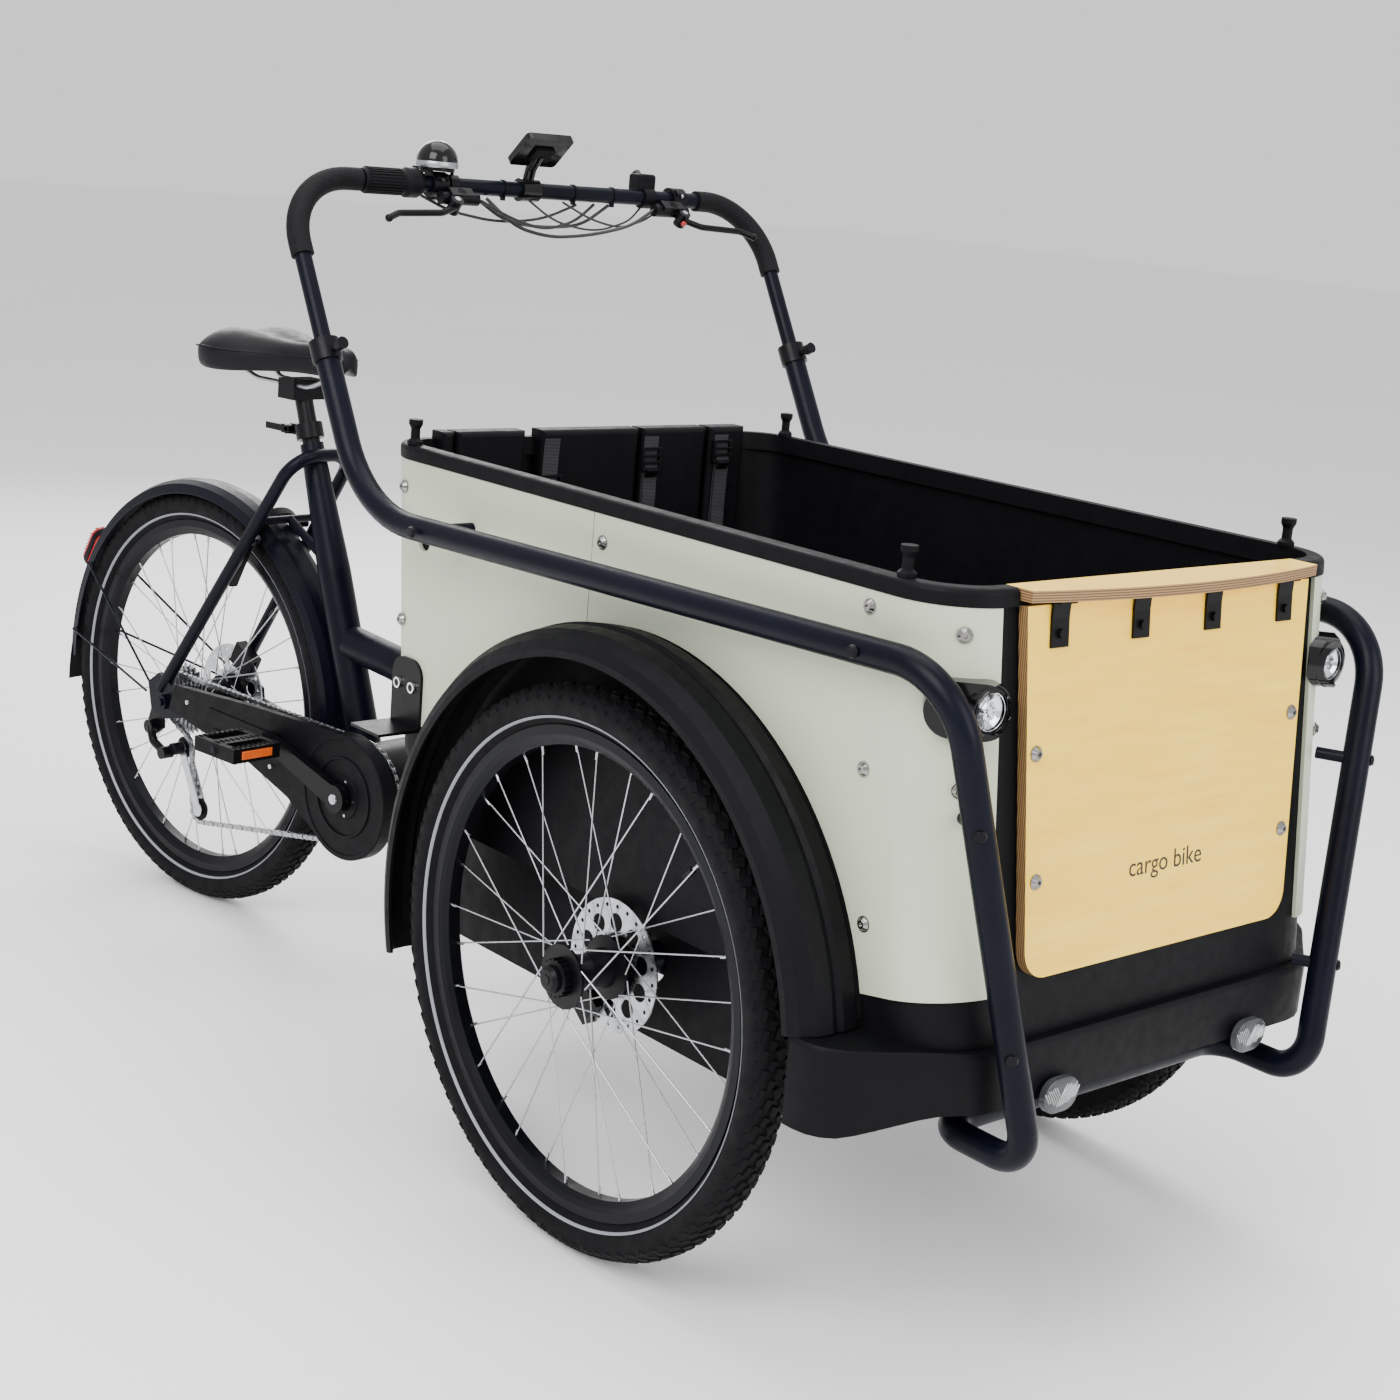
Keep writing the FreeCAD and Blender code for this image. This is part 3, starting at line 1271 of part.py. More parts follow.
def build_upright_collars():
    """A clamp on the top end of each upright, with a thumb screw."""
    collars = []
    top = UPRIGHT_TOP + UPRIGHT_LEAN * 14
    low = UPRIGHT_TOP - UPRIGHT_LEAN * 14
    band = rod(low, top, 19.5)
    around_upright = rod(low - UPRIGHT_LEAN, UPRIGHT_TOP, size("rail_radius") + 0.1)
    around_bar = rod(low, top + UPRIGHT_LEAN, size("bar_radius") + 0.08)
    screw = rod(UPRIGHT_TOP + Vector(15, 0, 3), UPRIGHT_TOP + Vector(32, 0, 12), 4)
    knob = rod(UPRIGHT_TOP + Vector(30, 0, 11), UPRIGHT_TOP + Vector(40, 0, 16), 8)
    collar = fused([band, screw, knob]).cut([around_upright, around_bar])
    collars += both_sides(collar)
    return collars


add_shape("handlebar", build_handlebar(), FRONT)
add_shape("grip_tape", build_grip_tape(), FRONT)
add_shape("upright_collars", build_upright_collars(), FRONT)

LEVER_REACH = unit(Vector(0.8, 0, -0.6))      # from the bar towards the brake levers
LEVER_AXIS = unit(Vector(0.6, 0, 0.8))        # brake lever pivots
LEVER_PIVOT_REACH = 42
RIGHT_LEVER_Y = -160
LEFT_LEVER_Y = 240
PIVOT_PIN = 3


def ring_on_bar(y_low, y_high, radius):
    ring = rod(bar_point(y_low), bar_point(y_high), radius)
    return ring.cut(rod(bar_point(y_low - 5), bar_point(y_high + 5), size("bar_radius") + 0.02))


def lever_pivot(y):
    return bar_point(y) + LEVER_REACH * LEVER_PIVOT_REACH


def lever_mount(y, outward):
    """Clamp on the bar, master cylinder and the two ears that hold the lever's pin."""
    clamp = ring_on_bar(min(y - outward * 2, y + outward * 22), max(y - outward * 2, y + outward * 22), 17)
    inner = y - outward * 44
    cylinder = rod(bar_point(inner) + LEVER_REACH * 27, bar_point(y + outward * 16) + LEVER_REACH * 27, 9)
    pivot = lever_pivot(y)
    ears = []
    for start, end in ((-11, -5.5), (5.5, 11)):
        ears.append(rod(pivot + LEVER_AXIS * start, pivot + LEVER_AXIS * end, 9))
    web = rod(bar_point(y) + LEVER_REACH * 27, pivot + LEVER_AXIS * 8, 5)
    web_below = rod(bar_point(y) + LEVER_REACH * 27, pivot - LEVER_AXIS * 8, 5)
    pin = rod(pivot - LEVER_AXIS * 10, pivot + LEVER_AXIS * 10, PIVOT_PIN)
    room = rod(pivot - LEVER_AXIS * 5.4, pivot + LEVER_AXIS * 5.4, 11)
    bar_room = rod(bar_point(y - 60), bar_point(y + 60), size("bar_radius") + 0.02)
    body = fused([clamp, cylinder, web, web_below] + ears).cut([room, bar_room])
    return body.fuse(pin)


def brake_lever(y, outward):
    """A bowed blade from the pivot eye to a ball end."""
    pivot = lever_pivot(y)
    eye = rod(pivot - LEVER_AXIS * 5, pivot + LEVER_AXIS * 5, 8.5)
    route = [
        pivot + LEVER_REACH * 3,
        pivot + LEVER_REACH * 17 + LEFT * (outward * 28),
        pivot + LEVER_REACH * 22 + LEFT * (outward * 100),
        pivot + LEVER_REACH * 33 + LEFT * (outward * 120),
    ]
    blade = pipe(route, [30, 24], 4.6)
    tip = Part.makeSphere(5.4, route[-1])
    pin_hole = rod(pivot - LEVER_AXIS * 12, pivot + LEVER_AXIS * 12, PIVOT_PIN + size("running_gap"))
    return fused([eye, blade, tip]).cut(pin_hole)


add_shape("lever_mounts", [lever_mount(RIGHT_LEVER_Y, -1), lever_mount(LEFT_LEVER_Y, 1)], FRONT)
add_shape("brake_lever_right", brake_lever(RIGHT_LEVER_Y, -1), FRONT)
add_shape("brake_lever_left", brake_lever(LEFT_LEVER_Y, 1), FRONT)


def add_twist_shifter():
    """A sleeve that turns on the bar, just inside the right grip tape."""
    placement = FRONT.multiply(Placement(bar_point(0), NO_TURN))
    body = new_body("twist_shifter", placement)
    bore = "dims.bar_radius + dims.running_gap"
    add_revolution(body, "sleeve", [
        (bore, -288), (15, -288), (16.5, -284), (16.5, -225),
        (20, -219), (20, -203), (17, -197), (bore, -197),
    ])


add_twist_shifter()


BELL_PIN_RADIUS = 1.5


def bell_pin(height):
    return bar_point(-172) + Vector(-26, 0, height)


def build_bell():
    """A steel dome on a short stem and a clamp."""
    centre = bar_point(-172) + Vector(4, 0, 30)
    dome = Part.makeSphere(28, centre)
    lower = Part.makeBox(80, 80, 40, centre - Vector(40, 40, 46))
    dome = dome.cut(lower)
    hollow = Part.makeSphere(26, centre).cut(lower)
    base = Part.makeCylinder(24, 5, centre - UP * 12, UP)
    stem = Part.makeCylinder(5, 38, centre - UP * 12, UP)
    clamp = ring_on_bar(-153, -139, 15)
    ear = block(bar_point(-176) + Vector(-30, 0, 14), bar_point(-168) + Vector(-11, 0, 17.4))
    riser = block(bar_point(-176) + Vector(-19, 0, 14), bar_point(-168) + Vector(-11, 0, 19))
    pin = rod(bell_pin(14), bell_pin(24), BELL_PIN_RADIUS)
    strut = pipe([bar_point(-146) + Vector(2, 0, 13), bar_point(-146) + Vector(3, 0, 19),
                  bar_point(-165) + Vector(4, 0, 20)], [3], 2.5)
    return fused([dome.cut(hollow), base, stem, clamp, strut, ear, riser, pin])


def build_bell_lever():
    """The thumb striker beside the dome, on an upright pin."""
    pin = bell_pin(20)
    eye = Part.makeCylinder(5, 4, pin - UP * 2, UP)
    paddle = block(pin + Vector(-22, -5, -2), pin + Vector(-3, 5, 2))
    return fused([eye, paddle]).cut(rod(bell_pin(10), bell_pin(30), BELL_PIN_RADIUS + size("running_gap")))


add_shape("bell", build_bell(), FRONT)
add_shape("bell_lever", build_bell_lever(), FRONT)

# Display and its mount, the assist control with its button, and the cables.
display_centre = bar_point(-17) + Vector(26, 0, 56)


def build_display():
    screen = block(Vector(-4.5, -39, -30), Vector(4.5, 39, 30))
    corners = [edge for edge in screen.Edges if edge.BoundBox.XLength > 8]
    screen = screen.makeFillet(6, corners)
    screen.rotate(Vector(0, 0, 0), LEFT, 50)
    screen.translate(display_centre)
    clamp = ring_on_bar(-32, -2, 16)
    arm = pipe([bar_point(-17, 0, -12), bar_point(-17, 6, -30), display_centre - Vector(3, 0, 6)], [12], 8)
    return fused([screen, clamp, arm])


ASSIST_Y = 196


def assist_button_axis():
    return unit(Vector(-0.8, 0, 0.6))


def build_assist_control():
    clamp = ring_on_bar(ASSIST_Y - 10, ASSIST_Y + 10, 15)
    case = block(bar_point(ASSIST_Y) + Vector(-24, -16, 8), bar_point(ASSIST_Y) + Vector(4, 16, 34))
    case = case.makeFillet(5, case.Edges)
    axis = assist_button_axis()
    seat = bar_point(ASSIST_Y) + Vector(-10, 0, 21)
    pocket = Part.makeCylinder(7.3, 30, seat + axis * 6, axis)
    bar_room = rod(bar_point(150), bar_point(240), size("bar_radius") + 0.02)
    return fused([clamp, case]).cut([pocket, bar_room])


def build_assist_button():
    axis = assist_button_axis()
    seat = bar_point(ASSIST_Y) + Vector(-10, 0, 21)
    return Part.makeCylinder(7, 12, seat + axis * 9, axis)


def build_brake_cables():
    """Two hoses that leave the master cylinders, sag under the bar and enter it."""
    right_exit = bar_point(RIGHT_LEVER_Y + 44) + LEVER_REACH * 27
    left_exit = bar_point(LEFT_LEVER_Y - 44) + LEVER_REACH * 27
    right_route = [right_exit + LEFT * 1.2, bar_point(-60, 14, 44), bar_point(10, 6, 50),
                   bar_point(80, 2, 44), bar_point(128, 0, size("bar_radius") + 3)]
    left_route = [left_exit - LEFT * 1.2, bar_point(145, 34, 40), bar_point(80, 26, 56),
                  bar_point(10, 24, 62), bar_point(-50, 22, 50), bar_point(-88, 3, size("bar_radius") + 3)]
    solids = []
    for route in (right_route, left_route):
        radii = []
        for before, corner, after in zip(route, route[1:], route[2:]):
            shorter = min((corner - before).Length, (after - corner).Length)
            turn = math.pi - (before - corner).getAngle(after - corner)
            radii.append(0.45 * shorter / math.tan(turn / 2))
        solids.append(pipe(route, radii, 2.5))
    return solids


add_shape("display", build_display(), FRONT)
add_shape("assist_control", build_assist_control(), FRONT)
add_shape("assist_button", build_assist_button(), FRONT)
add_shape("brake_cables", build_brake_cables(), FRONT)

# ------------------------------------------------------------------ checks and export

doc.recompute()
problems = []
for item in doc.Objects:
    if "Invalid" in item.State or "Error" in item.State:
        problems.append("%s is %s" % (item.Label, item.State))
for part in sub_parts:
    if part.Shape.isNull():
        problems.append(part.Label + " is empty")
    elif not part.Shape.isValid():
        problems.append(part.Label + " is not valid")
if problems:
    raise RuntimeError("; ".join(problems))
for part in sub_parts:
    part.Shape.exportStep(os.path.join("parts", part.Label + ".step"))
print("wrote", len(sub_parts), "sub-parts")
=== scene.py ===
import json
import math
import random

import bpy
import bmesh
from mathutils import Matrix, Vector


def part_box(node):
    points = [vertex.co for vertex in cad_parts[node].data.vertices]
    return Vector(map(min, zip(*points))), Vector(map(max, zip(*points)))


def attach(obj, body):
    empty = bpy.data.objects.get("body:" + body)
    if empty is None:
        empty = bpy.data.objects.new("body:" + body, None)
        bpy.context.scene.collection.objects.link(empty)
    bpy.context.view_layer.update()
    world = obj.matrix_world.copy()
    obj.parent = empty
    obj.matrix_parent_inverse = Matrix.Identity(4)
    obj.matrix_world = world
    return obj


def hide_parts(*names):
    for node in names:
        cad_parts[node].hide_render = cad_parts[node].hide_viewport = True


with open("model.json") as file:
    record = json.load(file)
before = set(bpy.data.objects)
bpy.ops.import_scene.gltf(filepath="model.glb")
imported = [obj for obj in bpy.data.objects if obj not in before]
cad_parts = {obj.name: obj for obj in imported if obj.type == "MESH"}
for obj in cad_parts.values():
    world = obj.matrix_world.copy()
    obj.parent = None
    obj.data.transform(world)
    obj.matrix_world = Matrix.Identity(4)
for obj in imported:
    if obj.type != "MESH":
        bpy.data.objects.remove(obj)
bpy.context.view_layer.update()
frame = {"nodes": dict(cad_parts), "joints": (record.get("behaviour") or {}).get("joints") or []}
random.seed(7)

# ---------------------------------------------------------------- frames of the bike
# The cargo front is square to the row frame; the rear end is turned about the steering pivot.

JOINTS = {joint["name"]: joint for joint in frame["joints"]}
FRONT_AXLE = Vector(JOINTS["front_right_spin"]["pos_m"])
REAR_AXLE = Vector(JOINTS["rear_wheel_spin"]["pos_m"])
REAR_SIDE = Vector(JOINTS["rear_wheel_spin"]["axis"])
REAR_TURN = math.atan2(-REAR_SIDE.x, REAR_SIDE.y)
CRANK = Vector(JOINTS["crank_spin"]["pos_m"])
SHIFT_X = FRONT_AXLE.x
PIVOT_X = JOINTS["steering"]["pos_m"][0]
BAR = Vector(JOINTS["shifter_twist"]["pos_m"])

FRONT = Matrix.Translation((SHIFT_X, 0, 0))
REAR = (
    Matrix.Translation((PIVOT_X, 0, 0))
    @ Matrix.Rotation(REAR_TURN, 4, "Z")
    @ Matrix.Translation((SHIFT_X - PIVOT_X, 0, 0))
)
REAR_HUB = Vector((REAR.inverted() @ REAR_AXLE))
BB = Vector((REAR.inverted() @ CRANK))
MM = 0.001


def mm(*values):
    return Vector([value * MM for value in values])


# ---------------------------------------------------------------- camera

FOCAL_OVER_WIDTH = 2237.63 / 1400
EYE = Vector((1.88434, -1.91380, 1.25860))
YAW = math.radians(138.4475)
PITCH = math.radians(-13.7148)
ROLL = math.radians(4.844)


def add_camera():
    data = bpy.data.cameras.new("camera")
    camera = bpy.data.objects.new("camera", data)
    bpy.context.scene.collection.objects.link(camera)
    data.sensor_width = 36
    data.lens = 36 * FOCAL_OVER_WIDTH
    data.clip_start = 0.05
    data.clip_end = 60
    ahead = Vector((math.cos(PITCH) * math.cos(YAW), math.cos(PITCH) * math.sin(YAW), math.sin(PITCH)))
    level = ahead.cross(Vector((0, 0, 1))).normalized()
    upward = level.cross(ahead)
    right = level * math.cos(ROLL) + upward * math.sin(ROLL)
    up = upward * math.cos(ROLL) - level * math.sin(ROLL)
    turn = Matrix((right, up, -ahead)).transposed().to_4x4()
    camera.matrix_world = Matrix.Translation(EYE + Vector((SHIFT_X, 0, 0))) @ turn
    bpy.context.scene.camera = camera


add_camera()

# ---------------------------------------------------------------- materials


def new_material(name, slot, base, rough, metal=0.0):
    material = bpy.data.materials.new(name)
    material.use_nodes = True
    shader = material.node_tree.nodes["Principled BSDF"]
    shader.inputs["Base Color"].default_value = (*base, 1)
    shader.inputs["Roughness"].default_value = rough
    shader.inputs["Metallic"].default_value = metal
    material["record_slot"] = slot
    return material, material.node_tree, shader


def coordinates(tree, scale=(1, 1, 1)):
    """Object coordinates, stretched, as a socket."""
    source = tree.nodes.new("ShaderNodeTexCoord")
    mapping = tree.nodes.new("ShaderNodeMapping")
    mapping.inputs["Scale"].default_value = scale
    tree.links.new(source.outputs["Object"], mapping.inputs["Vector"])
    return mapping.outputs["Vector"]


def noise(tree, vector, scale, detail=3.0, rough=0.55):
    node = tree.nodes.new("ShaderNodeTexNoise")
    node.inputs["Scale"].default_value = scale
    node.inputs["Detail"].default_value = detail
    node.inputs["Roughness"].default_value = rough
    tree.links.new(vector, node.inputs["Vector"])
    return node.outputs["Fac"]


def remap(tree, value, low, high, start=0.3, end=0.7):
    node = tree.nodes.new("ShaderNodeMapRange")
    node.inputs["From Min"].default_value = start
    node.inputs["From Max"].default_value = end
    node.inputs["To Min"].default_value = low
    node.inputs["To Max"].default_value = high
    tree.links.new(value, node.inputs["Value"])
    return node.outputs["Result"]


def ramp(tree, value, stops):
    node = tree.nodes.new("ShaderNodeValToRGB")
    elements = node.color_ramp.elements
    while len(elements) < len(stops):
        elements.new(0.5)
    for element, (place, colour) in zip(elements, stops):
        element.position = place
        element.color = (*colour, 1)
    tree.links.new(value, node.inputs["Fac"])
    return node.outputs["Color"]


def bump(tree, shader, value, strength, distance=0.001):
    node = tree.nodes.new("ShaderNodeBump")
    node.inputs["Strength"].default_value = strength
    node.inputs["Distance"].default_value = distance
    tree.links.new(value, node.inputs["Height"])
    tree.links.new(node.outputs["Normal"], shader.inputs["Normal"])


def shade(colour, factor):
    return tuple(min(1, channel * factor) for channel in colour)


def coated(name, slot, base, rough, grain=700.0, depth=0.12, metal=0.0, spread=0.06, tint=0.15, sheen=0.5):
    """A painted, moulded or rubber surface: fine grain, with uneven gloss and tone."""
    material, tree, shader = new_material(name, slot, base, rough, metal)
    shader.inputs["Specular IOR Level"].default_value = sheen
    vector = coordinates(tree)
    broad = noise(tree, vector, 9, 4)
    stops = [(0.35, shade(base, 1 - tint)), (0.65, shade(base, 1 + tint))]
    tree.links.new(ramp(tree, broad, stops), shader.inputs["Base Color"])
    middle = noise(tree, vector, 60, 5)
    tree.links.new(remap(tree, middle, rough - spread, rough + spread), shader.inputs["Roughness"])
    bump(tree, shader, noise(tree, vector, grain, 2), depth, 0.0006)
    return material


def plywood_face():
    base = (0.83, 0.62, 0.33)
    material, tree, shader = new_material("plywood_face", "plywood", base, 0.38)
    grain = noise(tree, coordinates(tree, (1, 1.2, 9)), 7, 6, 0.6)
    fine = noise(tree, coordinates(tree, (4, 4, 60)), 14, 5, 0.7)
    mix = tree.nodes.new("ShaderNodeMath")
    mix.operation = "MULTIPLY_ADD"
    mix.inputs[1].default_value = 0.35
    tree.links.new(fine, mix.inputs[0])
    tree.links.new(grain, mix.inputs[2])
    stops = [(0.40, (0.93, 0.52, 0.020)), (0.62, (0.98, 0.60, 0.034)), (0.90, (1.0, 0.68, 0.07))]
    tree.links.new(ramp(tree, mix.outputs[0], stops), shader.inputs["Base Color"])
    tree.links.new(remap(tree, fine, 0.30, 0.46), shader.inputs["Roughness"])
    bump(tree, shader, fine, 0.06, 0.0004)
    shader.inputs["Coat Weight"].default_value = 0.25
    shader.inputs["Coat Roughness"].default_value = 0.25
    return material


def plywood_edge(axis, thickness, offset):
    """Light and dark plies across the sheet's thickness, along one axis of the row frame."""
    base = (0.30, 0.19, 0.10)
    material, tree, shader = new_material("plywood_edge_" + "XYZ"[axis], "plywood", base, 0.6)
    source = tree.nodes.new("ShaderNodeTexCoord")
    split = tree.nodes.new("ShaderNodeSeparateXYZ")
    tree.links.new(source.outputs["Object"], split.inputs[0])
    scaled = tree.nodes.new("ShaderNodeMath")
    scaled.operation = "MULTIPLY_ADD"
    scaled.inputs[1].default_value = 4.5 / thickness
    scaled.inputs[2].default_value = -offset * 4.5 / thickness
    tree.links.new(split.outputs[axis], scaled.inputs[0])
    wobble = noise(tree, coordinates(tree, (3, 3, 3)), 20, 3)
    added = tree.nodes.new("ShaderNodeMath")
    added.operation = "MULTIPLY_ADD"
    added.inputs[1].default_value = 0.12
    tree.links.new(wobble, added.inputs[0])
    tree.links.new(scaled.outputs[0], added.inputs[2])
    wrapped = tree.nodes.new("ShaderNodeMath")
    wrapped.operation = "FRACT"
    tree.links.new(added.outputs[0], wrapped.inputs[0])
    stops = [(0.0, (0.36, 0.21, 0.075)), (0.45, (0.30, 0.17, 0.06)), (0.55, (0.075, 0.038, 0.016)),
             (0.95, (0.11, 0.055, 0.022))]
    tree.links.new(ramp(tree, wrapped.outputs[0], stops), shader.inputs["Base Color"])
    bump(tree, shader, wobble, 0.2, 0.0005)
    return material


def metal(name, slot, base, rough, brushed=(1, 1, 1)):
    material, tree, shader = new_material(name, slot, base, rough, 1.0)
    streak = noise(tree, coordinates(tree, brushed), 80, 4)
    tree.links.new(remap(tree, streak, rough * 0.75, rough * 1.3), shader.inputs["Roughness"])
    bump(tree, shader, streak, 0.04, 0.0003)
    return material


def glass(name, slot, base, rough=0.03, alpha=1.0):
    material, tree, shader = new_material(name, slot, base, rough)
    shader.inputs["Transmission Weight"].default_value = alpha
    shader.inputs["IOR"].default_value = 1.46
    bump(tree, shader, noise(tree, coordinates(tree), 300, 2), 0.03, 0.0003)
    return material


def woven(name, slot, base, pitch):
    """Webbing: wavy ribs across the tape."""
    material, tree, shader = new_material(name, slot, base, 0.8)
    wave = tree.nodes.new("ShaderNodeTexWave")
    wave.bands_direction = "Z"
    wave.inputs["Scale"].default_value = pitch
    wave.inputs["Distortion"].default_value = 0.6
    tree.links.new(coordinates(tree), wave.inputs["Vector"])
    # Painted light and shade: the ribs are painted lighter and the troughs between them darker, in step with
    # the bump.
    stops = [(0.2, shade(base, 0.55)), (0.8, shade(base, 1.5))]
    tree.links.new(ramp(tree, wave.outputs["Fac"], stops), shader.inputs["Base Color"])
    bump(tree, shader, wave.outputs["Fac"], 0.6, 0.0008)
    return material


def knurled(name, slot, base, pitch):
    """Diamond knurling for the grip tape, with painted highlight on the cell centres and painted shade in
    the grooves.
    """
    material, tree, shader = new_material(name, slot, base, 0.7)
    shader.inputs["Specular IOR Level"].default_value = 0.15
    cells = tree.nodes.new("ShaderNodeTexVoronoi")
    cells.inputs["Scale"].default_value = pitch
    cells.inputs["Randomness"].default_value = 0.35
    tree.links.new(coordinates(tree), cells.inputs["Vector"])
    # Painted light and shade: the cell centres are painted lighter and the grooves between the cells darker.
    stops = [(0.1, shade(base, 1.7)), (0.7, shade(base, 0.5))]
    tree.links.new(ramp(tree, cells.outputs["Distance"], stops), shader.inputs["Base Color"])
    bump(tree, shader, cells.outputs["Distance"], -0.9, 0.0015)
    return material


M = {
    "powder": coated("powder", "frame_paint", (0.0026, 0.0032, 0.0076), 0.34, 1400, 0.10, sheen=0.10),
    "moulded": coated("moulded", "black_plastic", (0.0030, 0.0031, 0.0040), 0.52, 500, 0.25,
                      spread=0.08, sheen=0.10),
    "gloss": coated("gloss", "gloss_black", (0.003, 0.003, 0.0035), 0.14, 200, 0.02, spread=0.03, sheen=0.3),
    "panel": coated("panel", "white_panel", (0.505, 0.550, 0.415), 0.36, 900, 0.03,
                    tint=0.015, spread=0.04, sheen=0.35),
    "ply": plywood_face(),
    "tyre": coated("tyre", "tyre_rubber", (0.0034, 0.0034, 0.0042), 0.66, 350, 0.3, spread=0.1, sheen=0.10),
    "stripe": coated("stripe", "tyre_rubber", (0.24, 0.25, 0.28), 0.45, 900, 0.10, tint=0.05),
    "rim": coated("rim", "black_metal", (0.0026, 0.0028, 0.0042), 0.34, 900, 0.05, sheen=0.12),
    "black": coated("black", "black_metal", (0.0030, 0.0030, 0.0040), 0.36, 900, 0.10, sheen=0.14),
    "steel": metal("steel", "silver_metal", (0.50, 0.51, 0.53), 0.26),
    "screw": metal("screw", "bright_metal", (0.30, 0.295, 0.28), 0.22),
    "dull": metal("dull", "silver_metal", (0.36, 0.37, 0.38), 0.36),
    "chrome": metal("chrome", "bright_metal", (0.86, 0.86, 0.87), 0.10),
    "mirror": metal("mirror", "clear_lens", (0.90, 0.91, 0.93), 0.07),
    "lens": glass("lens", "clear_lens", (0.93, 0.95, 0.97)),
    "prism": coated("prism", "clear_lens", (0.050, 0.053, 0.058), 0.24, 120, 0.3, sheen=0.35),
    "red": coated("red", "red_lens", (0.38, 0.006, 0.008), 0.16, 300, 0.1),
    "amber": coated("amber", "black_plastic", (0.80, 0.12, 0.01), 0.25, 400, 0.2),
    "screen": coated("screen", "gloss_black", (0.004, 0.005, 0.006), 0.05, 100, 0.01, spread=0.02),
    "webbing": woven("webbing", "webbing", (0.018, 0.018, 0.021), 160),
    "leather": coated("leather", "saddle_cover", (0.0040, 0.0040, 0.0052), 0.46, 650, 0.35,
                      spread=0.07, sheen=0.16),
    "grip": knurled("grip", "grip_rubber", (0.0045, 0.0045, 0.0055), 330),
    "hose": coated("hose", "grip_rubber", (0.010, 0.010, 0.011), 0.42, 600, 0.1),
    "print": coated("print", "plywood", (0.012, 0.011, 0.010), 0.6, 300, 0.05),
}

# ---------------------------------------------------------------- mesh helpers


def finish_piece(obj, material, body, replaced=(), smooth=35):
    """Gives a new piece its material and body, and smooth faces with crisp edges."""
    if material is not None:
        obj.data.materials.clear()
        obj.data.materials.append(M[material])
    if obj.type == "MESH":
        obj.data.shade_smooth()
        obj.data.set_sharp_from_angle(angle=math.radians(smooth))
    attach(obj, body)
    if replaced:
        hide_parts(*replaced)
    return obj


def new_mesh(name, vertices, faces):
    mesh = bpy.data.meshes.new(name)
    mesh.from_pydata([tuple(vertex) for vertex in vertices], [], faces)
    mesh.update()
    obj = bpy.data.objects.new(name, mesh)
    bpy.context.scene.collection.objects.link(obj)
    return obj


def outward(obj):
    work = bmesh.new()
    work.from_mesh(obj.data)
    bmesh.ops.recalc_face_normals(work, faces=work.faces)
    work.to_mesh(obj.data)
    work.free()
    return obj


class Builder:
    """Collects simple solids into one mesh, each placed by a matrix."""

    def __init__(self):
        self.vertices = []
        self.faces = []

    def add(self, points, faces, place=None):
        start = len(self.vertices)
        place = place or Matrix.Identity(4)
        self.vertices += [place @ Vector(point) for point in points]
        self.faces += [tuple(start + index for index in face) for face in faces]

    def box(self, half, place, taper=1.0):
        x, y, z = half
        points = []
        for sz, k in ((-1, 1.0), (1, taper)):
            points += [(-x * k, -y * k, sz * z), (x * k, -y * k, sz * z),
                       (x * k, y * k, sz * z), (-x * k, y * k, sz * z)]
        faces = [(3, 2, 1, 0), (4, 5, 6, 7), (0, 1, 5, 4), (1, 2, 6, 5), (2, 3, 7, 6), (3, 0, 4, 7)]
        self.add(points, faces, place)

    def lathe(self, profile, place, steps=32, closed=False):
        """Turns (radius, height) points about the local Z axis."""
        count = len(profile)
        points = []
        for step in range(steps):
            angle = 2 * math.pi * step / steps
            for radius, height in profile:
                points.append((radius * math.cos(angle), radius * math.sin(angle), height))
        faces = []
        rows = count if closed else count - 1
        for step in range(steps):
            following = (step + 1) % steps
            for index in range(rows):
                nxt = (index + 1) % count
                faces.append((step * count + index, following * count + index,
                              following * count + nxt, step * count + nxt))
        self.add(points, faces, place)

    def cylinder(self, start, end, radius, steps=16, end_radius=None):
        start = Vector(start)
        end = Vector(end)
        place = Matrix.Translation(start) @ (end - start).to_track_quat("Z", "Y").to_matrix().to_4x4()
        last = radius if end_radius is None else end_radius
        length = (end - start).length
        self.lathe([(0, 0), (radius, 0), (last, length), (0, length)], place, steps)

    def tube(self, points, radius, steps=12, closed=False):
        """A round rod through the points, with turned sections carried along it."""
        points = [Vector(point) for point in points]
        count = len(points)
        rings = []
        side = None
        for index, point in enumerate(points):
            before = points[index - 1] if index or closed else point
            after = points[(index + 1) % count] if index < count - 1 or closed else point
            along = (after - before).normalized()
            if side is None:
                side = along.orthogonal().normalized()
            side = (side - along * side.dot(along)).normalized()
            other = along.cross(side)
            size = radius(index / max(1, count - 1)) if callable(radius) else radius
            ring = []
            for step in range(steps):
                angle = 2 * math.pi * step / steps
                ring.append(point + side * (size * math.cos(angle)) + other * (size * math.sin(angle)))
            rings.append(ring)
        flat = [vertex for ring in rings for vertex in ring]
        faces = []
        spans = count if closed else count - 1
        for index in range(spans):
            nxt = (index + 1) % count
            for step in range(steps):
                right = (step + 1) % steps
                faces.append((index * steps + step, index * steps + right,
                              nxt * steps + right, nxt * steps + step))
        if not closed:
            faces.append(tuple(reversed(range(steps))))
            faces.append(tuple((count - 1) * steps + step for step in range(steps)))
        self.add(flat, faces)

    def make(self, name, material, body, replaced=(), smooth=35, bevel=0.0):
        obj = outward(new_mesh(name, self.vertices, self.faces))
        if bevel:
            modifier = obj.modifiers.new("edges", "BEVEL")
            modifier.width = bevel
            modifier.segments = 2
            modifier.limit_method = "ANGLE"
            modifier.angle_limit = math.radians(40)
        return finish_piece(obj, material, body, replaced, smooth)


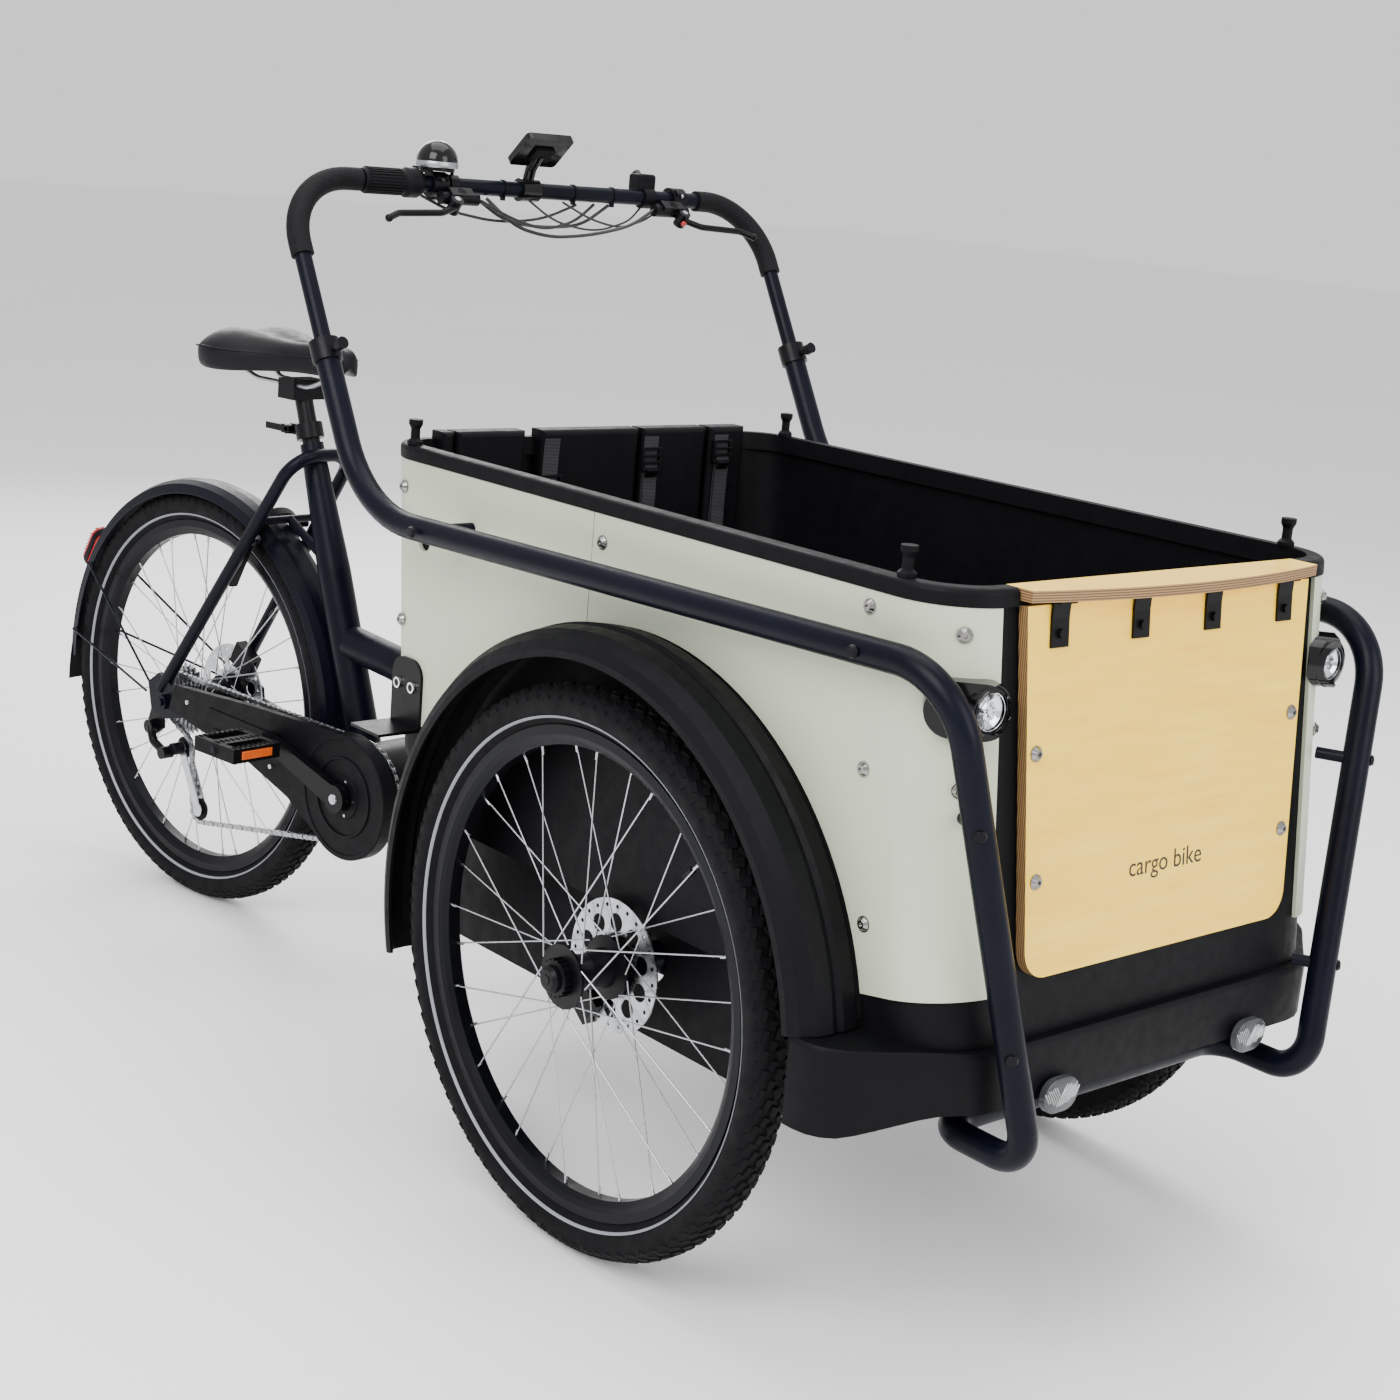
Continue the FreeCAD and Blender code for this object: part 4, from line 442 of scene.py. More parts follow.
def rounded(points, radii, steps=8):
    """Straight runs with arcs at the corners, as a list of points."""
    points = [Vector(point) for point in points]
    path = [points[0]]
    for before, corner, after, radius in zip(points, points[1:], points[2:], radii):
        back = (before - corner).normalized()
        ahead = (after - corner).normalized()
        half = back.angle(ahead) / 2
        reach = radius / math.tan(half)
        centre = corner + (back + ahead).normalized() * (radius / math.sin(half))
        enter = corner + back * reach - centre
        leave = corner + ahead * reach - centre
        for step in range(steps + 1):
            path.append(centre + enter.normalized().slerp(leave.normalized(), step / steps) * radius)
    path.append(points[-1])
    return path


# ---------------------------------------------------------------- CAD nodes that stay in view

NODE_MATERIAL = {
    "main_frame": "powder", "seat_clamp": "black", "seat_clamp_lever": "black", "motor_unit": "black",
    "chain_guard": "moulded", "rear_fender": "powder", "tail_light": "red", "ring_lock": "moulded",
    "derailleur": "black", "rear_caliper": "black", "seat_post": "black",
    "saddle_rails": "dull", "rear_rim": "rim", "rear_spokes": "steel", "rear_hub": "black",
    "front_right_rim": "rim", "front_right_spokes": "steel", "front_right_hub": "black",
    "front_left_rim": "rim", "front_left_spokes": "steel", "front_left_hub": "black",
    "crankset": "black", "pedal_right": "moulded", "pedal_left": "moulded",
    "front_chassis": "powder", "cargo_tub": "moulded", "side_panels": "panel", "front_panel": "ply",
    "front_shelf": "ply", "shelf_brackets": "black", "panel_bolts": "screw", "bumper_frame": "powder",
    "front_skirt": "moulded", "wheel_arches": "moulded", "headlight_housings": "gloss",
    "tent_posts": "moulded", "foot_brackets": "black", "harness_straps": "webbing",
    "front_calipers": "black", "upright_collars": "black", "handlebar": "powder", "grip_tape": "grip",
    "lever_mounts": "black", "brake_lever_right": "black", "brake_lever_left": "black",
    "display": "gloss", "bell": "black", "bell_lever": "black", "assist_control": "moulded",
    "assist_button": "gloss", "brake_cables": "hose", "twist_shifter": "moulded",
    "cassette": "dull", "derailleur_cage": "steel", "chain": "steel", "saddle": "leather",
    "lamp_lenses": "prism", "rear_tyre": "tyre", "front_right_tyre": "tyre", "front_left_tyre": "tyre",
}


def dress_nodes():
    for node, material in NODE_MATERIAL.items():
        mesh = frame["nodes"][node].data
        mesh.materials.clear()
        mesh.materials.append(M[material])


def repaint(node, material, wanted):
    """Gives the faces of a CAD node that pass the test another material."""
    mesh = frame["nodes"][node].data
    mesh.materials.append(M[material])
    index = len(mesh.materials) - 1
    for polygon in mesh.polygons:
        if wanted(polygon.center, polygon.normal):
            polygon.material_index = index


dress_nodes()
ply_low, ply_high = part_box("front_shelf")
M["shelf_edge"] = plywood_edge(2, ply_high.z - ply_low.z, ply_low.z)
M["panel_edge"] = plywood_edge(0, 0.012, 0.0)
repaint("front_shelf", "shelf_edge", lambda centre, normal: abs(normal.z) < 0.7)
repaint("front_panel", "panel_edge", lambda centre, normal: abs(normal.x) < 0.7)

WHEELS = {
    "front_right": (FRONT @ Matrix.Translation((0, FRONT_AXLE.y, FRONT_AXLE.z)), "front_wheel_right"),
    "front_left": (
        FRONT @ Matrix.Translation((0, -FRONT_AXLE.y, FRONT_AXLE.z)) @ Matrix.Rotation(math.pi, 4, "Z"),
        "front_wheel_left",
    ),
    "rear": (REAR @ Matrix.Translation(REAR_HUB), "rear_wheel"),
}


def rotor_face(prefix, low, high):
    inverse = WHEELS[prefix][0].inverted()

    def wanted(centre, normal):
        local = inverse @ centre
        return low < local.y < high and math.hypot(local.x, local.z) > 0.036

    return wanted


FRONT_ROTOR = (0.0410, 0.0440)
REAR_ROTOR = (0.0495, 0.0525)

for prefix, span in (("front_right", FRONT_ROTOR), ("front_left", FRONT_ROTOR), ("rear", REAR_ROTOR)):
    repaint(prefix + "_hub", "steel", rotor_face(prefix, *span))

# ---------------------------------------------------------------- wheels

TYRE_SECTION = [
    (280, 12.6), (287.5, 12.7), (290, 15.5), (293, 18.6), (297, 21.8), (303, 25.0), (309, 26.4), (315, 26.6),
    (320, 25.8), (325, 23.0), (328.5, 18.5), (330.6, 12), (331.6, 6), (332, 0),
]


def add_tyre(prefix, place, body):
    spin = place @ Matrix.Rotation(math.radians(-90), 4, "X")
    half = [(radius * MM, across * MM) for radius, across in TYRE_SECTION]
    far = [(radius, -across) for radius, across in reversed(half[:-1])]
    inner = [(280 * MM, -8.5 * MM), (300 * MM, -20 * MM), (322 * MM, -18 * MM), (326 * MM, 0),
             (322 * MM, 18 * MM), (300 * MM, 20 * MM), (280 * MM, 8.5 * MM)]
    carcass = Builder()
    carcass.lathe(half + far + inner, spin, 144, closed=True)
    carcass.make(prefix + "_casing", "tyre", body, (prefix + "_tyre",), smooth=50)
    knobs = Builder()
    count = 96
    rows = [(0, 333.2, 7.0, 5.2, 0), (9.6, 332.0, 6.4, 3.9, 0.5), (-9.6, 332.0, 6.4, 3.9, 0.5),
            (18.0, 328.0, 7.6, 3.6, 0), (-18.0, 328.0, 7.6, 3.6, 0),
            (24.2, 321.5, 5.6, 3.2, 0.5), (-24.2, 321.5, 5.6, 3.2, 0.5)]
    for across, radius, long_half, wide_half, phase in rows:
        lean = math.atan2(across, 31) * 1.15
        for index in range(count):
            angle = 2 * math.pi * (index + phase) / count
            skew = 0.28 if index % 2 else -0.28
            if across:
                skew = 0.35 * math.copysign(1, across)
            local = (
                Matrix.Rotation(-angle, 4, "Y")
                @ Matrix.Translation((radius * MM, across * MM, 0))
                @ Matrix.Rotation(lean, 4, "Z")
                @ Matrix.Rotation(math.radians(90), 4, "Y")
                @ Matrix.Rotation(skew, 4, "Z")
            )
            knobs.box((long_half * MM, wide_half * MM, 1.7 * MM), place @ local, taper=0.82)
    knobs.make(prefix + "_tread", "tyre", body, smooth=20)
    band = Builder()
    for sign in (1, -1):
        section = [(295.6, 21.4), (298.6, 23.6), (298.6, 22.0), (295.6, 20.0)]
        band.lathe([(radius * MM, sign * across * MM) for radius, across in section], spin, 144, closed=True)
    band.make(prefix + "_reflective_band", "stripe", body, smooth=60)


def add_wheel_details(prefix, place, body):
    """Nipples at the rim and a valve."""
    nipples = Builder()
    for index in range(32):
        angle = 2 * math.pi * index / 32
        side = 1 if index % 2 else -1
        local = Matrix.Rotation(-angle, 4, "Y")
        base = place @ local @ Vector((0.2640, side * 0.0048, 0))
        tip = place @ local @ Vector((0.2540, side * 0.0058, 0))
        nipples.cylinder(base, tip, 0.0021, 8, 0.0017)
    nipples.make(prefix + "_nipples", "steel", body, smooth=50)
    valve = Builder()
    angle = math.radians(360 / 64 + 40)
    local = place @ Matrix.Rotation(-angle, 4, "Y")
    valve.cylinder(local @ Vector((0.264, 0, 0)), local @ Vector((0.236, 0, 0)), 0.003, 12)
    valve.cylinder(local @ Vector((0.245, 0, 0)), local @ Vector((0.229, 0, 0)), 0.0042, 12)
    valve.make(prefix + "_valve", "black", body)


def add_hub_details(prefix, place, body):
    """A ribbed end cap outside each front hub, and rivets round the rotor's carrier."""
    cap = Builder()
    outer = place @ Matrix.Translation((0, -0.0552, 0)) @ Matrix.Rotation(math.radians(90), 4, "X")
    cap.lathe([(0, 0.0012), (0.0060, 0.0012), (0.0068, 0), (0.0115, 0), (0.0118, -0.002)], outer, 6)
    for index in range(18):
        angle = 2 * math.pi * index / 18
        local = place @ Matrix.Rotation(angle, 4, "Y") @ Matrix.Translation((0.0214, -0.0395, 0))
        cap.box((0.0012, 0.0055, 0.0016), local)
    cap.lathe([(0.0165, 0.0), (0.0212, 0.001), (0.0212, 0.010), (0.0165, 0.011)],
              place @ Matrix.Translation((0, -0.0345, 0)) @ Matrix.Rotation(math.radians(90), 4, "X"), 36)
    cap.make(prefix + "_hub_cap", "black", body, smooth=30)


for wheel, (place, body) in WHEELS.items():
    add_tyre(wheel, place, body)
    add_wheel_details(wheel, place, body)
    if wheel != "rear":
        add_hub_details(wheel, place, body)

# ---------------------------------------------------------------- saddle

SADDLE_SECTIONS = [
    # x, half width, top z, edge z, skirt z, channel depth (mm)
    (-1246, 40, 914, 906, 900, 0), (-1240, 70, 927, 911, 891, 2), (-1226, 94, 938, 916, 883, 5),
    (-1202, 104, 944, 919, 880, 7), (-1174, 102, 944, 918, 880, 8), (-1146, 88, 940, 917, 882, 8),
    (-1116, 64, 936, 917, 885, 8), (-1086, 46, 934, 917, 888, 7), (-1050, 35, 935, 919, 890, 5),
    (-1015, 29, 937, 921, 890, 3), (-985, 23, 935, 920, 890, 1), (-970, 14, 926, 914, 895, 0),
]


def add_saddle():
    rings = []
    for x, half, top, edge, skirt, channel in SADDLE_SECTIONS:
        across = [(0, top - channel), (0.14, top - channel * 0.75), (0.30, top), (0.58, top - 1.5),
                  (0.82, edge + (top - edge) * 0.45), (0.96, edge), (1.0, edge - 7), (0.97, skirt + 5),
                  (0.90, skirt), (0.72, skirt + 3), (0.35, skirt + 7), (0, skirt + 8)]
        right = [(-share * half, z) for share, z in across]
        left = [(share * half, z) for share, z in reversed(across[1:-1])]
        rings.append([REAR @ mm(x, y, z) for y, z in right + left])
    count = len(rings[0])
    vertices = [vertex for ring in rings for vertex in ring]
    faces = []
    for row in range(len(rings) - 1):
        for index in range(count):
            nxt = (index + 1) % count
            faces.append((row * count + index, row * count + nxt,
                          (row + 1) * count + nxt, (row + 1) * count + index))
    faces.append(tuple(range(count)))
    faces.append(tuple(reversed([(len(rings) - 1) * count + index for index in range(count)])))
    cover = outward(new_mesh("saddle_cover", vertices, faces))
    smooth = cover.modifiers.new("round", "SUBSURF")
    smooth.levels = 2
    smooth.render_levels = 2
    finish_piece(cover, "leather", "saddle_post", ("saddle",), smooth=180)
    seam = Builder()
    for side in (-1, 1):
        path = []
        for x, half, top, edge, skirt, channel in SADDLE_SECTIONS[1:-1]:
            path.append(REAR @ mm(x, side * (half * 0.985), edge - 3))
        seam.tube(path, 0.0012, 8)
    seam.make("saddle_piping", "leather", "saddle_post", smooth=60)


add_saddle()

# ---------------------------------------------------------------- lamps and reflectors

LAMP = FRONT @ mm(470, -287, 751)


def flipped(place, side):
    """The same place on the bike's left for side 1, as given for side -1."""
    if side < 0:
        return place
    return Matrix.Scale(-1, 4, (0, 1, 0)) @ place


def add_lamps():
    bowl = Builder()
    lens = Builder()
    ring = Builder()
    leds = Builder()
    for side in (-1, 1):
        place = flipped(Matrix.Translation(LAMP) @ Matrix.Rotation(math.radians(90), 4, "Y"), side)
        bowl.lathe([(0, 0.0008), (0.006, 0.0012), (0.0140, 0.004), (0.0198, 0.009)], place, 36)
        lens.lathe([(0.0210, 0.0060), (0.0210, 0.0090), (0.0172, 0.0113), (0.0090, 0.0127), (0, 0.0131),
                    (0, 0.0115), (0.0090, 0.0111), (0.0172, 0.0097), (0.0195, 0.0060)],
                   place, 36, closed=False)
        ring.lathe([(0.0213, 0.0), (0.0213, 0.0105), (0.0230, 0.0118), (0.0253, 0.0108), (0.0257, 0.0095)],
                   place, 40)
        for angle in range(0, 360, 90):
            turn = Matrix.Rotation(math.radians(angle + 45), 4, "Z")
            offset = turn @ Matrix.Translation((0.0075, 0, 0.0045))
            leds.box((0.0016, 0.0040, 0.0022), place @ offset)
        leds.cylinder(place @ Vector((0, 0, 0.001)), place @ Vector((0, 0, 0.007)), 0.0034, 12)
    bowl.make("lamp_bowls", "mirror", "cargo_front", ("lamp_lenses",), smooth=50)
    lens.make("lamp_glasses", "lens", "cargo_front", smooth=50)
    ring.make("lamp_bezels", "gloss", "cargo_front", smooth=40)
    leds.make("lamp_reflector_ribs", "chrome", "cargo_front")


def oblong(half_length, half_height, steps=10):
    """Points round an oblong with round ends, in the local XY plane."""
    run = half_length - half_height
    points = []
    for centre, start in ((run, -90), (-run, 90)):
        for step in range(steps + 1):
            angle = math.radians(start + 180 * step / steps)
            points.append((centre + half_height * math.cos(angle), half_height * math.sin(angle)))
    return points


def add_reflectors():
    body = Builder()
    ribs = Builder()
    base_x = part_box("lamp_lenses")[1].x - 0.010
    for side in (-1, 1):
        turn = Matrix(((0, 0, 1, 0), (1, 0, 0, 0), (0, 1, 0, 0), (0, 0, 0, 1)))
        place = Matrix.Translation((base_x, side * 0.164, 0.338)) @ turn
        outline = oblong(0.027, 0.019)
        inner = oblong(0.0255, 0.0175)
        low = [(x, y, 0.0) for x, y in outline]
        mid = [(x, y, 0.0075) for x, y in outline]
        top = [(x, y, 0.0085) for x, y in inner]
        count = len(outline)
        faces = []
        for level in (0, 1):
            for index in range(count):
                nxt = (index + 1) % count
                faces.append((level * count + index, level * count + nxt,
                              (level + 1) * count + nxt, (level + 1) * count + index))
        faces.append(tuple(2 * count + index for index in range(count)))
        faces.append(tuple(reversed(range(count))))
        body.add(low + mid + top, faces, place)
        for index in range(-7, 8):
            offset = index * 0.0033
            reach = 0.0160 if abs(offset) < 0.009 else 0.0130
            if offset < -0.0005:
                tilt = Matrix.Rotation(math.radians(32), 4, "Z")
                reach *= 0.92
            else:
                tilt = Matrix.Rotation(math.radians(-32), 4, "Z")
            if abs(offset) > 0.017:
                reach *= 0.62
            ribs.box((0.0009, reach, 0.0005), place @ Matrix.Translation((offset, 0, 0.0087)) @ tilt,
                     taper=0.5)
    body.make("front_reflectors", "prism", "cargo_front", smooth=40)
    ribs.make("front_reflector_ribs", "dull", "cargo_front")


add_lamps()
add_reflectors()

# ---------------------------------------------------------------- chain and sprockets

CHAIN_Y = -50
PITCH = 12.7
CHAIN_WHEELS = [
    # x, z, path radius, sense (mm, in the straight bike's frame)
    (BB.x * 1000, BB.z * 1000, 79, 1),
    (REAR_HUB.x * 1000, REAR_HUB.z * 1000, 42, 1),
    (-1286, 258, 21.5, -1),
    (-1238, 166, 21.5, 1),
]


def belt_path(wheels):
    """Points of a loop that runs round the wheels, close together and evenly spaced."""
    count = len(wheels)
    leaves = []
    enters = [None] * count
    for index, (x1, z1, r1, s1) in enumerate(wheels):
        x2, z2, r2, s2 = wheels[(index + 1) % count]
        shift = s2 * r2 - s1 * r1
        angle = math.atan2(z2 - z1, x2 - x1) - math.asin(shift / math.hypot(x2 - x1, z2 - z1))
        left = (-math.sin(angle), math.cos(angle))
        leaves.append((x1 - left[0] * s1 * r1, z1 - left[1] * s1 * r1))
        enters[(index + 1) % count] = (x2 - left[0] * s2 * r2, z2 - left[1] * s2 * r2)
    dense = []
    for index, (x, z, radius, sense) in enumerate(wheels):
        first = math.atan2(enters[index][1] - z, enters[index][0] - x)
        last = math.atan2(leaves[index][1] - z, leaves[index][0] - x)
        turn = ((last - first) * sense) % (2 * math.pi)
        steps = max(4, int(turn * radius))
        for step in range(steps + 1):
            angle = first + sense * turn * step / steps
            dense.append((x + radius * math.cos(angle), z + radius * math.sin(angle)))
        run = math.dist(leaves[index], enters[(index + 1) % count])
        for step in range(1, int(run)):
            share = step / int(run)
            ends = zip(leaves[index], enters[(index + 1) % count])
            dense.append(tuple(a + (b - a) * share for a, b in ends))
    lengths = [0.0]
    for before, after in zip(dense, dense[1:] + dense[:1]):
        lengths.append(lengths[-1] + math.dist(before, after))
    links = 2 * round(lengths[-1] / PITCH / 2)
    places = []
    cursor = 0
    for link in range(links):
        wanted = lengths[-1] * link / links
        while lengths[cursor + 1] < wanted:
            cursor += 1
        places.append(dense[cursor])
    return places


def add_chain():
    chain = Builder()
    places = belt_path(CHAIN_WHEELS)
    for index, (x, z) in enumerate(places):
        nx, nz = places[(index + 1) % len(places)]
        angle = math.atan2(nz - z, nx - x)
        pin = REAR @ mm(x, CHAIN_Y, z)
        side = (REAR.to_3x3() @ Vector((0, 1, 0))) * MM
        chain.cylinder(pin - side * 3.6, pin + side * 3.6, 0.0018, 8)
        chain.cylinder(pin - side * 1.5, pin + side * 1.5, 0.0038, 12)
        reach = 3.1 if index % 2 else 2.1
        for sign in (-1, 1):
            middle = REAR @ mm((x + nx) / 2, CHAIN_Y + sign * reach, (z + nz) / 2)
            turn = REAR.to_3x3().to_4x4() @ Matrix.Rotation(-angle, 4, "Y")
            chain.box((0.0072, 0.00045, 0.0030), Matrix.Translation(middle) @ turn)
            chain.cylinder(pin + side * (sign * (reach - 0.45)), pin + side * (sign * (reach + 0.45)),
                           0.0041, 12)
    chain.make("chain_links", "dull", "rear_frame", ("chain",), smooth=30)


def gear(builder, place, teeth, radius, half_width):
    """A flat toothed ring, its teeth between the chain's rollers, thick along local Y."""
    outer = []
    for tooth in range(teeth):
        for share, reach in ((0.0, -3.6), (0.22, -2.6), (0.40, 1.8), (0.60, 1.8), (0.78, -2.6)):
            angle = 2 * math.pi * (tooth + share) / teeth
            outer.append(((radius + reach) * MM * math.cos(angle), (radius + reach) * MM * math.sin(angle)))
    count = len(outer)
    hole = [(point[0] * 0.45, point[1] * 0.45) for point in outer]
    points = []
    for y in (-half_width, half_width):
        points += [(x, y, z) for x, z in outer] + [(x, y, z) for x, z in hole]
    faces = []
    for index in range(count):
        nxt = (index + 1) % count
        faces.append((index, nxt, count + nxt, count + index))
        faces.append((2 * count + index, 3 * count + index, 3 * count + nxt, 2 * count + nxt))
        faces.append((index, 2 * count + index, 2 * count + nxt, nxt))
        faces.append((count + index, count + nxt, 3 * count + nxt, 3 * count + index))
    builder.add(points, faces, place)


def add_sprockets():
    place = REAR @ Matrix.Translation(REAR_HUB)
    cluster = Builder()
    for index, teeth in enumerate((27, 25, 23, 21, 19, 17, 15, 13)):
        y = -(35 + 3.5 * index + 0.8) * MM
        gear(cluster, place @ Matrix.Translation((0, y, 0)), teeth, teeth * 2.06 + 0.6, 0.0008)
    cluster.lathe([(0.0172, 0.0350), (0.0208, 0.0350), (0.0208, 0.0630), (0.0172, 0.0630)],
                  place @ Matrix.Rotation(math.radians(90), 4, "X"), 36, closed=True)
    cluster.make("sprocket_cluster", "dull", "cassette", ("cassette",), smooth=25)


def add_crank_details():
    """The bolt at the end of the spindle, and toothed chainring round the plain disc."""
    ring = Builder()
    place = REAR @ Matrix.Translation(BB)
    gear(ring, place @ Matrix.Translation((0, CHAIN_Y * MM, 0)), 38, 79, 0.0011)
    ring.make("chainring_teeth", "dull", "crankset", smooth=25)
    bolts = Builder()
    for side in (-1, 1):
        bolts.cylinder(place @ Vector((0, side * 0.1070, 0)), place @ Vector((0, side * 0.1105, 0)),
                       0.0085, 24, 0.0075)
        bolts.cylinder(place @ Vector((0, side * 0.1100, 0)), place @ Vector((0, side * 0.1116, 0)),
                       0.0042, 6)
    bolts.make("crank_bolts", "steel", "crankset", bevel=0.0004)


def add_guard_details():
    """Raised rings on the guard's disc, a slot line along its arm and two small screws."""
    rings = Builder()
    place = REAR @ Matrix.Translation(BB) @ Matrix.Rotation(math.radians(90), 4, "X")
    rings.lathe([(0.0560, 0.0890), (0.0570, 0.0925), (0.0610, 0.0925), (0.0620, 0.0890)], place, 64)
    rings.lathe([(0.0860, 0.0890), (0.0870, 0.0915), (0.0935, 0.0915), (0.0950, 0.0890)], place, 64)
    rings.lathe([(0.0200, 0.0890), (0.0205, 0.0920), (0.0330, 0.0920), (0.0345, 0.0890)], place, 48)
    for x, z, half in ((-1080, 352, 90), (-1080, 322, 78)):
        local = REAR @ Matrix.Translation(mm(x, -91.2, z)) @ Matrix.Rotation(math.radians(1.5), 4, "Y")
        rings.box((half * MM, 0.0008, 0.0022), local)
    rings.make("guard_ribs", "moulded", "rear_frame", smooth=30, bevel=0.0005)
    screws = Builder()
    for x, z in ((-1225, 352), (-1010, 345), (-1010, 300)):
        point = REAR @ mm(x, -91, z)
        out = REAR.to_3x3() @ Vector((0, -1, 0)) * MM
        screws.cylinder(point - out, point + out * 1.6, 0.0042, 16, 0.0036)
    for index in range(5):
        angle = 2 * math.pi * index / 5
        point = place @ Vector((0.0270 * math.cos(angle), 0.0270 * math.sin(angle), 0.0920))
        screws.cylinder(point, point + out * 1.2, 0.0022, 12)
    screws.make("guard_screws", "steel", "rear_frame")


def pedal_place(side):
    joint = JOINTS["pedal_right_spin" if side < 0 else "pedal_left_spin"]
    return Matrix.Translation(Vector(joint["pos_m"])) @ REAR.to_3x3().to_4x4()


def add_pedal_details():
    for side, body in ((-1, "pedal_right"), (1, "pedal_left")):
        place = pedal_place(side)
        amber = Builder()
        for end in (-1, 1):
            amber.box((0.0012, 0.0270, 0.0062), place @ Matrix.Translation((end * 0.0484, 0, 0)))
        amber.make(body + "_reflectors", "amber", body, bevel=0.0006)
        pads = Builder()
        for end in (-1, 0, 1):
            for top in (-1, 1):
                for step in range(-4, 5):
                    local = place @ Matrix.Translation((end * 0.0405, step * 0.0090, top * 0.0114))
                    pads.box((0.0052, 0.0016, 0.0010), local, taper=0.8)
        pads.make(body + "_tread", "grip", body)
        caps = Builder()
        caps.cylinder(place @ Vector((0, side * 0.0415, 0)), place @ Vector((0, side * 0.0440, 0)),
                      0.0085, 20, 0.007)
        caps.make(body + "_cap", "moulded", body)


add_chain()
add_sprockets()
add_crank_details()
add_guard_details()
add_pedal_details()

JOCKEYS = [REAR @ mm(-1286, CHAIN_Y, 258), REAR @ mm(-1238, CHAIN_Y, 166)]


def jockey_face(centre, normal):
    local = REAR.inverted() @ centre
    across = abs(local.y - CHAIN_Y * MM)
    return across < 0.0020 and min((centre - jockey).length for jockey in JOCKEYS) < 0.019


repaint("derailleur_cage", "moulded", jockey_face)

# ---------------------------------------------------------------- rear end details


def hub_point(degrees, radius, y=0.0):
    angle = math.radians(degrees)
    return REAR @ (REAR_HUB + mm(radius * math.cos(angle), y, radius * math.sin(angle)))


def add_mudflap():
    flap = Builder()
    rows = []
    for step in range(9):
        share = step / 8
        degrees = 176 + 11 * share
        half = 30 + 3 * share
        radius = 351 + 6 * share
        rows.append([hub_point(degrees, radius - 7 * (abs(k) / 2) ** 2, k / 2 * half) for k in range(-2, 3)])
    count = 5
    outer = [point for row in rows for point in row]
    centre = REAR @ REAR_HUB
    inner = [point + (centre - point).normalized() * 0.002 for point in outer]
    faces = []
    size = len(outer)
    for row in range(8):
        for column in range(count - 1):
            a = row * count + column
            faces.append((a, a + 1, a + count + 1, a + count))
            faces.append((size + a, size + a + count, size + a + count + 1, size + a + 1))
    border = [c for c in range(count)] + [r * count + count - 1 for r in range(1, 9)]
    border += [8 * count + c for c in range(count - 2, -1, -1)] + [r * count for r in range(7, 0, -1)]
    for a, b in zip(border, border[1:] + border[:1]):
        faces.append((a, b, size + b, size + a))
    flap.add(outer + inner, faces)
    flap.make("mudflap", "moulded", "rear_frame", smooth=60)


def add_tail_light_details():
    centre = hub_point(149, 366)
    radial = (hub_point(149, 400) - centre).normalized()
    side = REAR.to_3x3() @ Vector((0, 1, 0))
    along = radial.cross(side).normalized()
    turn = Matrix((side, along, radial)).transposed().to_4x4()
    place = Matrix.Translation(centre) @ turn
    bezel = Builder()
    outline = oblong(0.0395, 0.0185)
    outline = [(y, x) for x, y in outline]
    count = len(outline)
    low = [(x, y, -0.004) for x, y in outline]
    high = [(x, y, 0.006) for x, y in outline]
    faces = [(i, (i + 1) % count, count + (i + 1) % count, count + i) for i in range(count)]
    faces += [tuple(reversed(range(count))), tuple(range(count, 2 * count))]
    bezel.add(low + high, faces, place)
    bezel.make("tail_light_base", "moulded", "rear_frame", smooth=40)
    ribs = Builder()
    for step in range(-5, 6):
        reach = 0.0125 if abs(step) < 4 else 0.008
        ribs.box((reach, 0.0010, 0.0007), place @ Matrix.Translation((0, step * 0.0055, 0.0202)), taper=0.6)
    ribs.make("tail_light_ribs", "red", "rear_frame")


def add_lock_details():
    centre = hub_point(62, 340)
    radial = (hub_point(62, 400) - centre).normalized()
    side = REAR.to_3x3() @ Vector((0, 1, 0))
    forward = radial.cross(side).normalized()
    if forward.z > 0:
        forward = -forward
    key = Builder()
    for radius, depth in ((0.0095, 0.0105), (0.0070, 0.0120)):
        start = centre - side * 0.0425 - radial * 0.004 + forward * 0.006
        key.cylinder(start, start + forward * depth, radius, 24)
    key.make("lock_cylinder", "steel", "rear_frame", bevel=0.0005)
    handle = Builder()
    start = centre + side * 0.0500 + radial * 0.010
    handle.cylinder(start, start + side * 0.010, 0.0055, 16, 0.0065)
    handle.make("lock_slider", "moulded", "rear_frame", bevel=0.0005)


def add_fender_bead():
    """The rolled edges of the rear mudguard and the eyes at the stays' ends."""
    bead = Builder()
    for side in (-1, 1):
        bead.tube([hub_point(-16 + 196 * step / 90, 331.5, side * 30) for step in range(91)], 0.0016, 8)
    bead.make("fender_beads", "powder", "rear_frame", smooth=60)
    clips = Builder()
    for degrees in (150, 172):
        for side in (-1, 1):
            top = hub_point(degrees, 336, side * 33)
            inner = hub_point(degrees, 330, side * 31)
            clips.cylinder(inner, hub_point(degrees, 330, side * 35.5), 0.006, 16)
            clips.cylinder(top, hub_point(degrees, 322, side * 34), 0.0035, 12)
    clips.make("fender_clips", "black", "rear_frame")


add_mudflap()
add_tail_light_details()
add_lock_details()
add_fender_bead()

# ---------------------------------------------------------------- cargo box details


BUCKLE_BARS = [
    # height over the buckle's middle, thickness, distance off the tape (m)
    (0.0145, 0.0020, 0), (0.0045, 0.0016, 0.0015), (-0.0050, 0.0020, 0.001), (-0.0148, 0.0022, 0.0015),
]


